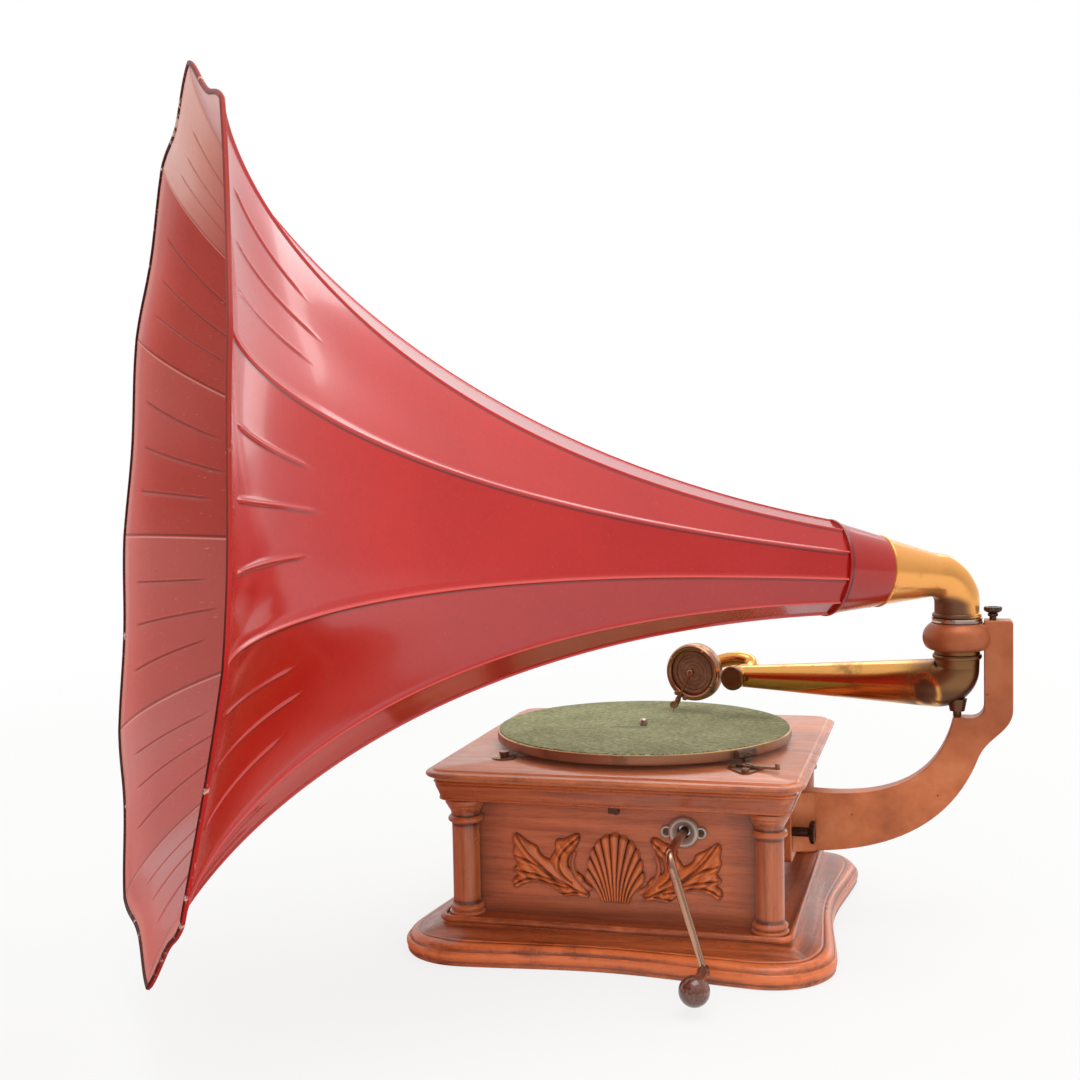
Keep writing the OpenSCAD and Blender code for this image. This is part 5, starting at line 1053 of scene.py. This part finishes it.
def horn_net(rows=84):
    """Outer skin from neck to mouth and inner skin back again, closed all round."""
    t = 1 - (1 - np.linspace(0, 1, rows)) ** 1.25
    p, _ = horn_line(t)
    width = p[:, 1] * 2 * np.pi / petals
    v = across_petal(width, t)
    turn = (np.arange(petals)[None, :, None] + v[:, None, :]).reshape(rows, -1)
    t2, w2 = np.repeat(t[:, None], turn.shape[1], 1), np.repeat(width[:, None], turn.shape[1], 1)
    side = (turn + 0.5) % 1 - 0.5
    fold = side * w2
    ridge = 1.5 * np.exp(-np.abs((fold - 1.0) / 1.0) ** 3)
    crease, shade = np.zeros_like(fold), np.zeros_like(fold)
    for middle_at, drift, start in creases:
        d = ((turn % 1) - middle_at - drift * (0.95 - t2)) * w2
        span = smooth_step(start, start + 0.03, t2) * smooth_step(0.89, 0.875, t2)
        crease += np.exp(-(d / 1.1) ** 2) * span
        shade += np.exp(-((d + 1.9) / 0.8) ** 2) * span
    fade = smooth_step(1.0, 0.985, t2)
    outer = petal_point(turn, t2, (ridge + 0.9 * crease) * fade)
    inner = petal_point(turn, t2, -0.7 + (0.25 * ridge + 0.9 * crease) * fade)
    points = np.concatenate([outer, inner[::-1]])
    clean = smooth_step(0.9, 0.96, np.sin(np.radians(seam_at + turn * 360 / petals)))
    fold = fold + 20 * clean
    layers = {"fold": np.concatenate([fold, fold[::-1]]), "reach": np.concatenate([t2, t2[::-1]]),
              "crease": np.concatenate([crease - shade, (crease - shade)[::-1] * -0.8])}
    # The painted highlight on the inside of the top petal, towards the mouth
    top_petal_painted_light = 0.75 * ((turn > 2) & (turn < 3)) * smooth_step(0.62, 0.86, t2)
    layers["faded"] = np.concatenate([top_petal_painted_light, top_petal_painted_light[::-1]])
    choice = np.zeros((2 * rows, turn.shape[1]), int)
    choice[rows - 1:-1] = 1
    return net(points, True, True), layers, choice.ravel()


bell, bell_layers, bell_choice = horn_net()
put("horn_petals_folded", move(bell, horn_turn, horn_by), "horn", [horn_outside, horn_inside],
    ["horn_petals"], bell_layers, bell_choice, sharp=50)

# %% [markdown]
# The wire is a ring that follows the scalloped mouth, just outside the petals' edge; the petals
# are rolled over it, so it is painted too. The neck is a turned cone with a bead at the big end
# and a rivet above and below.

# %% Rim wire and neck
def rim_net(steps=22, columns=20):
    """A circle carried along the petals' edge, 1.6 mm in radius on one side to 2.2 mm on the other, and
    how far each of its points faces the mouth."""
    turn = np.arange(petals * steps) / steps
    p = petal_point(turn, np.ones_like(turn), -0.35)
    wire = 1.9 - 0.3 * p[:, 1:2] / np.hypot(p[:, 1], p[:, 2])[:, None]
    a = np.arctan2(p[:, 2], p[:, 1])[:, None]
    out = np.hypot(p[:, 1], p[:, 2])[:, None] + wire + 0.15
    b = np.linspace(0, 2 * np.pi, columns, endpoint=False)[None]
    r = out + wire * np.cos(b)
    inward = np.repeat((1 - np.cos(b - 0.75)) / 2, len(p), 0)
    return net(np.stack([p[:, :1] - wire * np.sin(b), r * np.cos(a), r * np.sin(a)], -1), True, True), inward


rim_shape, rim_inward = rim_net()
put("horn_rim_rolled", move(rim_shape, horn_turn, horn_by), "horn", rim_lacquer, ["horn_rim_wire"],
    {"inward": rim_inward})

along_x = np.array([[0, 0, 1], [1, 0, 0], [0, 1, 0]], float)
neck_x, neck_l = 76.1, 46.55
neck_line = soften([[27.2, 0], [28.3, 0], [28.5, 0.6], [36.7, neck_l - 3.4], [38.1, neck_l - 2.8],
                    [38.7, neck_l - 1.6], [38.5, neck_l - 0.5], [37.9, neck_l], [34.4, neck_l],
                    [34.3, neck_l + 8], [33.3, neck_l + 8], [33.3, neck_l - 5]], 2, closed=True)
neck_cone = lathe(neck_line, 96, ring=True)
stud = lathe([[0, 0], [1.9, 0], [1.9, 1.2], [1.3, 2.1], [0, 2.3]], 24, 1)
studs = [move(move(stud, to_side, (27.6, 0, 7)), turn_about("z", angle)) for angle in (100, 280)]
neck_fold = np.full(len(neck_cone[0]) + 2 * len(stud[0]), 20.0)
neck_shape = move(join(neck_cone, *studs), along_x, (neck_x, 0, 0))
from_bead = np.abs(neck_shape[0][:, 0] - (neck_x + neck_l - 3.3))
neck_fold = np.where(np.hypot(neck_shape[0][:, 1], neck_shape[0][:, 2]) > 30,
                     -1.3 - np.maximum(from_bead - 1, 0), 20)
put("horn_neck_cone", move(neck_shape, horn_turn, horn_by), "horn", neck_lacquer, ["horn_neck"],
    {"fold": neck_fold, "reach": np.zeros(len(neck_fold)), "crease": np.zeros(len(neck_fold))})

# %% [markdown]
# The brass elbow turns the horn's neck down into the ring of the bracket. It is a tube whose
# circles grow as the path bends: narrow at its foot, wide where it meets the neck. The path lies
# in one upright plane, so it is drawn there and then turned to face the way the horn does.

# %% Brass elbow and collar
elbow_z, rise = 261.85, np.radians(-horn_tilt)
drop_up = horn_z - elbow_z
elbow_r, elbow_out, elbow_deg = 24, 76, 90 + horn_tilt
lead = elbow_r * np.tan(np.radians(elbow_deg) / 2)
q = np.radians(np.linspace(0, elbow_deg, 30))
elbow_bend = np.c_[elbow_r * (1 - np.cos(q)), 0 * q, drop_up - lead + elbow_r * np.sin(q)]
reach_out = np.linspace(0, 1, 25)[1:, None]
elbow_way = np.array([np.cos(rise), 0, np.sin(rise)])
elbow_run = np.array([0, 0, drop_up]) + elbow_way * (lead + (elbow_out - lead) * reach_out)
elbow_path = np.vstack([[[0, 0, 0]], elbow_bend, elbow_run])
grown = np.clip((np.r_[np.zeros(31), reach_out[:, 0]] - 0.06) / 0.94, 0, 1)
elbow_radii = 18 + 10 * grown
elbow = pipe(elbow_path, elbow_radii, 1.8, [0, 1, 0], 80)
elbow_turn = turn_about("z", horn_way)
lip_line = soften([[27.0, -2.6], [28.3, -2.6], [29.0, -2.0], [29.0, -0.8], [28.2, -0.2], [27.0, -0.2]], 1,
                  closed=True)
lip = move(move(lathe(lip_line, 80, ring=True), along_x, (elbow_out, 0, 0)), turn_about("y", horn_tilt),
           (0, 0, drop_up))
foot_line = soften([[17.2, -2.6], [19.2, -2.6], [20.0, -1.8], [19.7, 0.2], [18.4, 1.0], [17.2, 1.0]], 1,
                   closed=True)
foot = move(lathe(foot_line, 72, ring=True), by=(0, 0, 2.8))
spigot = lathe([[16.29, -22], [16.29, 1], [14.9, 1], [14.9, -22]], 72, ring=True)
slip = lathe([[26.8, -1], [26.8, 14], [25.2, 14], [25.2, -1]], 72, ring=True)
slip = move(move(slip, along_x, (elbow_out, 0, 0)), turn_about("y", horn_tilt), (0, 0, drop_up))
elbow_shape = join(elbow, lip, foot, spigot, slip)
at = elbow_shape[0]
patch = np.hypot((at[:, 0] - 17) / 19, (at[:, 2] - 4) / 15)
along_run = (at[:, 0] - 21) * np.tan(rise)
seam = np.exp(-((at[:, 2] - along_run - 24) / 0.9) ** 2) * (at[:, 0] > 20) * (np.abs(at[:, 1]) > 12)
tarnish_and_painted_reflection = np.maximum(smooth_step(1.2, 0.75, patch), 0.6 * seam)
put("horn_elbow_spun", move(elbow_shape, elbow_turn, (post_x, 0, elbow_z)), "horn", elbow_brass,
    ["horn_elbow"], {"tarnish_and_painted_reflection": tarnish_and_painted_reflection})
collar_line = soften([[16.4, 257.85], [20.3, 257.85], [20.3, 258.6], [19.6, 259.6], [20.3, 260.6],
                      [20.3, 261.8], [16.4, 261.8]], 1, closed=True)
put("horn_collar_turned", move(lathe(collar_line, 80, ring=True), by=(post_x, 0, 0)), "horn", nickel,
    ["horn_collar"])

# %% [markdown]
# ## Tone arm and sound box
# The arm is a brass tube that tapers from the joint under the ring to a small cross tube. The
# joint is a tight bend, swollen like a ball. Its lacquer has gone brown where hands push it, and
# its underside is darker as well. On its side a dark oval with a golden edge is a painted
# reflection. A number for the tarnish and the painted reflection is worked out from where each
# point lies, and the metal reads it.

# %% Tone arm
arm_turn = turn_about("z", 163)
arm_drop, arm_z = 222.0, 206.3
h = np.linspace(0, 7, 29)
angle = np.radians(11 * h)
arm_bend = np.c_[19 * (1 - np.cos(angle)), 0 * h, arm_drop - (arm_drop - arm_z) * np.sin(angle)]
slope = np.radians(2)
taper_from = np.array([19.38, 0, arm_z])
g = np.linspace(0, 1, 40)[:, None]
arm_run = taper_from + (196 - 19.38) * g * np.array([np.cos(slope), 0, -np.sin(slope)])
arm_path = np.vstack([arm_bend, arm_run])
arm_radii = np.r_[17.6 + 2.2 * np.sin(np.radians(90 * h / 7)), 19.9 - (19.9 - 9.3) * g[:, 0]]
arm_tube = pipe(arm_path, arm_radii, 1.6, [0, 1, 0], 72)
arm_neck = lathe([[18.15, 221], [18.15, 257.4], [16.36, 257.4], [16.36, 221]], 72, 1, ring=True)
neck_bead = lathe([[17.6, 227.6], [19.3, 228], [19.8, 229.8], [19.3, 231.6], [17.6, 232]], 72, 2, ring=True)
cross_h = arm_z - (196 - 19.4) * np.tan(slope)
cross_line = soften([[6.5, -12], [9.0, -12], [9.8, -11.4], [9.8, 12.4], [10.8, 13.0], [10.8, 15.8],
                     [10.0, 16.6], [7.0, 16.9], [3.4, 16.4], [0, 16.4]], 1)
cross_tube = move(lathe(np.vstack([[[0, 11.9], [6.5, 11.9]], cross_line]), 64), turn_about("x", -90),
                  (196, 0, cross_h))
stem = lathe([[0, 174.1], [1.8, 174.1], [1.8, 180.3], [3.4, 180.4], [3.4, 184], [6, 184.4], [8, 194.4],
              [0, 194.6]], 48)
arm_shape = join(arm_tube, arm_neck, neck_bead, cross_tube, stem)
at = arm_shape[0]
# Brown near the bend where hands push it, and darker along the underside
brown = smooth_step(52, 22, at[:, 0]) * 0.85 + 0.35 * smooth_step(2, -14, at[:, 2] - arm_z + at[:, 0] * 0.04)
# Painted reflection: a dark oval with a golden edge on the side of the bend
painted_reflection_oval = np.hypot((at[:, 0] - 21) / 10, (at[:, 2] - 201) / 12)
painted_reflection_rim = np.exp(-((painted_reflection_oval - 1.15) / 0.16) ** 2)
caps = (at[:, 0] > 184) & (np.abs(at[:, 1]) > 11.6)
tarnish_and_painted_reflection = np.clip(brown + 0.9 * smooth_step(1.05, 0.9, painted_reflection_oval), 0, 1) * (1 - 0.95 * painted_reflection_rim)
tarnish_and_painted_reflection = np.maximum(tarnish_and_painted_reflection, 0.9 * caps)
put("tone_arm_drawn", move(arm_shape, arm_turn, (post_x, 0, 0)), "arm", arm_brass, ["tone_arm"],
    {"tarnish_and_painted_reflection": tarnish_and_painted_reflection})

# %% [markdown]
# The crook is a gooseneck: it leaves the cross tube sideways and comes round behind the sound
# box, so that the box can be tipped up to change the needle. The sound box is a shallow bronze
# drum with stepped rings, and in it sits the brown diaphragm between two gaskets.

# %% Crook, sound box, diaphragm, stylus and needle
box_at = np.array([240.6, 0, 201])
u = np.linspace(0, 1, 22)
crook_path = np.vstack([[[196, 11, cross_h], [196, 0, cross_h], [196, -10, cross_h]],
                        bezier([196, -14, cross_h], [195, -36, cross_h + 5], [200, -34, cross_h + 11],
                               [214, -33, cross_h + 10.5], u),
                        bezier([220, -33, cross_h + 9.5], [236.6, -32, cross_h + 6], [240.6, -26, 201],
                               [240.6, -14, 201], u)])
crook = pipe(crook_path, np.full(len(crook_path), 6.4), 1.2, [0, 0, 1], 40)
cuff = lathe([[6.2, 0], [7.9, 0], [8.4, 0.8], [8.4, 2.4], [7.9, 3], [6.2, 3]], 48, 1, ring=True)
crook = join(crook, move(cuff, turn_about("x", 90), (240.6, -14.5, 201)))
put("crook_gooseneck", move(crook, arm_turn, (post_x, 0, 0)), "reproducer", arm_brass, ["crook"])

box_turn = arm_turn @ turn_about("x", -90)
box_by = arm_turn @ box_at + np.array([post_x, 0, 0])
box_line = soften([[6.5, -11], [6.5, -14], [9.4, -14], [9.4, -10.6], [14, -10.6], [14, -7], [23, -7],
                   [25.4, -6.4], [26, -5], [26, 2.6], [25.5, 3.4], [25.6, 4.6], [25.2, 5.8], [24, 6.9],
                   [22.6, 7], [21.4, 6.2], [20.6, 5.6], [20.2, 2.1], [0, 2.05]], 1)
box_body = lathe(np.vstack([[[0, -4], [6.5, -4]], box_line]), 120)
lug = lathe([[0, 0], [2.2, 0], [2.2, 4.2], [1.5, 5], [0, 5]], 28, 1)
stylus = np.radians(63)
toe = [np.array([24 * np.cos(stylus) - k * 4.6 * np.sin(stylus),
                 24 * np.sin(stylus) + k * 4.6 * np.cos(stylus), 3]) for k in (-1, 1)]
box_screws = [move(lathe([[0, 0], [1.5, 0], [1.5, 0.9], [0.9, 1.4], [0, 1.4]], 20, 1),
                   by=(22.4 * np.cos(a), 22.4 * np.sin(a), 6.6)) for a in np.radians([150, 240, 330])]
box_shape = join(box_body, *[move(lug, by=p) for p in toe], *box_screws)
put("sound_box_spun", move(box_shape, box_turn, box_by), "reproducer", box_bronze, ["sound_box"])

ripple = np.linspace(0, 19.6, 60)
face = np.c_[ripple, 2.5 + 0.28 * np.cos(ripple * 1.7) * smooth_step(1, 5, ripple)]
disc = lathe(np.vstack([[[0, 2.02], [19.6, 2.02]], face[::-1]]), 96)
gasket = lathe([[16.6, 2.3], [19.2, 2.3], [19.2, 3.4], [18.6, 3.9], [17.2, 3.9], [16.6, 3.4]], 96, 1,
               ring=True)
put("diaphragm_mica", move(join(disc, gasket), box_turn, box_by), "reproducer", mica, ["diaphragm"])

bar_line = slab(line_of([[0, -1.5], [10, -1.1], [22, -1.1], [24, -1.9], [28.6, -1.9], [28.6, 1.9], [24, 1.9],
                         [22, 1.1], [10, 1.1], [0, 1.5]]), 7.35, 9.4)
nub = lathe([[0, 2.7], [1.4, 2.7], [1.4, 7.2], [3.2, 7.3], [3.2, 9.2], [2.2, 10.0], [0, 10.2]], 32, 1)
socket = move(lathe([[0.72, 0], [0.72, 8.2], [2.2, 8.2], [2.6, 7.6], [2.6, 0]], 32, ring=True), along_x,
              (27, 0, 8.35))
needle_screw = move(join(lathe([[0, 1.5], [1.2, 1.5], [1.2, 4], [0, 4]], 20),
                         move(thumb_head(3.5, 2.6, 12, 6), by=(0, 0, 3.4))), by=(32.6, 0, 8.35))
stylus_turn = box_turn @ turn_about("z", 63)
put("stylus_bar_forged", move(join(bar_line, nub, socket, needle_screw), stylus_turn, box_by), "reproducer",
    box_bronze, ["stylus_bar"], bevel=0.35, sharp=30)
needle_l = 40.6 - 26 - 5.2
needle = move(lathe([[0, 0], [0.66, 0], [0.66, needle_l], [0.12, needle_l + 2.5], [0, needle_l + 2.5]], 20),
              along_x, (28.7, 0, 8.35))
put("needle_steel", move(needle, stylus_turn, box_by), "reproducer", bright_steel, ["needle"])

# %% [markdown]
# ## The frame's own pieces
# Inside the case the motor's wheels, plates and shafts already have their real shapes, so they
# keep the frame's meshes and only get their metals. The same holds for flat boards and screws.

# %% Finishes for the pieces that stay
kept = {
    panel_oak: ["crank_side_panel", "far_side_panel"],
    side_oak: ["horn_side_panel", "bracket_side_panel"],
    board_wood: ["bottom_board"],
    dark_screw: ["lid_catch", "case_screws", "escutcheon_screws"],
    motor_steel: ["motor_plate", "motor_base_plate", "winding_bearing", "governor_bearings", "speed_lever"],
    bright_steel: ["motor_pillars", "intermediate_arbor", "barrel_arbor", "ratchet_wheel", "winding_shaft",
                   "ratchet_pawl", "governor_shaft"],
    gear_brass: ["spindle_pinion", "governor_drive_wheel", "intermediate_wheel", "spring_barrel",
                 "barrel_cover", "crown_wheel", "governor_weights", "governor_disc"],
    spring_steel: ["mainspring"],
    brake_brass: ["speed_dial", "speed_knob", "brake_base", "brake_lever"],
    pad_leather: ["brake_pad"]}
kept = {node: finish for finish, nodes in kept.items() for node in nodes}
for node, finish in kept.items():
    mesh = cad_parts[node].data
    mesh.materials.clear()
    mesh.materials.append(finish)
left_bare = [name for name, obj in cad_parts.items() if name not in kept and not obj.hide_render]
print("kept nodes:", len(kept), "without a finish:", left_bare)

# %% [markdown]
# ## Studio
# The photograph was taken on white paper under a large soft box, with a white screen behind. The
# room behind the camera was dim, and that dimness, mirrored in the lacquer, keeps the reds deep.
# So the world that mirrors see is white behind and above and grey in front, while the light that
# falls on the object is a plain fill, a little stronger from the right front. Three bounce cards
# lift the sides without a highlight. The floor is partly its own light for the camera and in
# mirrors, so it reads as white, and the rest of it is plain paper that keeps the soft shadow under
# the case. Further out that share grows to the whole, so no horizon shows. In mirrors the paper
# under the horn glows red: a painted red bounce, the colour that the horn would throw on it.

# %% Floor, world and lamps
def studio_floor():
    """A wide square of paper at the feet of the case; its own light rises from 0.7 to 2 m out."""
    corners = [[[x, y, -0.6] for x in (-6000, 6000)] for y in (-6000, 6000)]
    points, blocks = net(np.array(corners, float))
    mesh = bpy.data.meshes.new("studio_floor")
    mesh.from_pydata((points / 1000).tolist(), [], blocks[0][:, ::-1].tolist())
    mesh.update()
    finish, add, place = new_finish("white_paper_floor")
    paper = add("BsdfDiffuse", {"Color": "#cac9c6"})
    rays = add("LightPath").outputs
    seen = add("Math", rays["Is Camera Ray"], rays["Is Transmission Ray"], operation="MAXIMUM")
    right = add("SeparateXYZ", place).outputs[0]
    # Painted red bounce: in mirrors the paper under the horn glows red
    painted_red_bounce = add("MapRange", right, -0.16, 0.0, 1.0, 0.0)
    painted_red_bounce = add("Math", painted_red_bounce, rays["Is Glossy Ray"], operation="MULTIPLY")
    hue = add("Mix", painted_red_bounce, {6: (1, 1, 1, 1), 7: "#c2483a"}, data_type="RGBA")
    glow = add("Emission", {"Color": hue, "Strength": 1.0})
    seen = add("Math", seen, rays["Is Glossy Ray"], operation="MAXIMUM")
    away = add("VectorMath", place, operation="LENGTH")
    own = add("MapRange", away, 0.7, 2.0, 0.8, 1.0, interpolation_type="SMOOTHSTEP")
    share = add("Math", seen, own, operation="MULTIPLY")
    both = add("MixShader", share, paper, glow)
    add("OutputMaterial", {"Surface": both})
    mesh.materials.append(finish)
    floor = bpy.data.objects.new("studio_floor", mesh)
    bpy.context.scene.collection.objects.link(floor)
    return floor


def studio_world(fill=0.5, toward=(0.26, -0.52, 0.52)):
    """White for the camera, a white screen and a dim room for mirrors; the fill grows towards one way."""
    world = bpy.data.worlds.new("studio")
    bpy.context.scene.world = world
    world.use_nodes = True
    add = cleared(world.node_tree)
    rays = add("LightPath").outputs
    seen = add("Math", rays["Is Camera Ray"], rays["Is Transmission Ray"], operation="MAXIMUM")
    way = add("TexCoord").outputs["Generated"]
    tilt = add("VectorMath", way, (-0.2, 0.36, 0.32), operation="DOT_PRODUCT")
    room = add("MapRange", tilt, -0.4, 0.34, 0.26, 1.0)
    lobe = add("VectorMath", way, toward, operation="DOT_PRODUCT")
    lobe = add("MapRange", lobe, 0.0, 1.0, fill, fill + 1.0)
    bright = add("Mix", rays["Is Glossy Ray"], {2: lobe, 3: room}, data_type="FLOAT")
    bright = add("Mix", seen, {2: bright, 3: 1.0}, data_type="FLOAT")
    light = add("Background", {"Color": (1, 1, 1, 1), "Strength": bright})
    add("OutputWorld", {"Surface": light})


def soft_lamp(name, place, aim, width, watts, mirrored=True, height=None):
    """A flat lamp that looks at a point; a bounce card gives light but no highlight."""
    data = bpy.data.lights.new(name, "AREA")
    data.shape, data.size, data.size_y, data.energy = "RECTANGLE", width, height or width, watts
    lamp = bpy.data.objects.new(name, data)
    lamp.location = place
    lamp.rotation_euler = (Vector(aim) - Vector(place)).to_track_quat("-Z", "Y").to_euler()
    lamp.visible_camera = False
    lamp.visible_glossy = mirrored
    bpy.context.scene.collection.objects.link(lamp)
    return lamp


studio_floor()
studio_world()
soft_lamp("box_overhead", (0.4, -0.5, 3.1), (0.0, -0.1, 0.3), 2.2, 45)
soft_lamp("card_right", (2.2, -0.4, 0.9), (0.1, 0.0, 0.3), 1.4, 13, False)
soft_lamp("screen_behind", (0.1, 1.9, 1.95), (0.1, 0.0, 0.5), 1.8, 15, height=1.0)
soft_lamp("window_behind", (0.85, 1.7, 0.62), (0.2, -0.1, 0.05), 0.6, 2)
soft_lamp("card_front", (0.4, -2.4, 0.8), (0.1, -0.1, 0.2), 1.6, 18, False)
soft_lamp("card_left", (-2.3, -1.5, 0.9), (-0.3, -0.2, 0.45), 1.4, 17, False)
bpy.context.scene.view_settings.view_transform = "Standard"
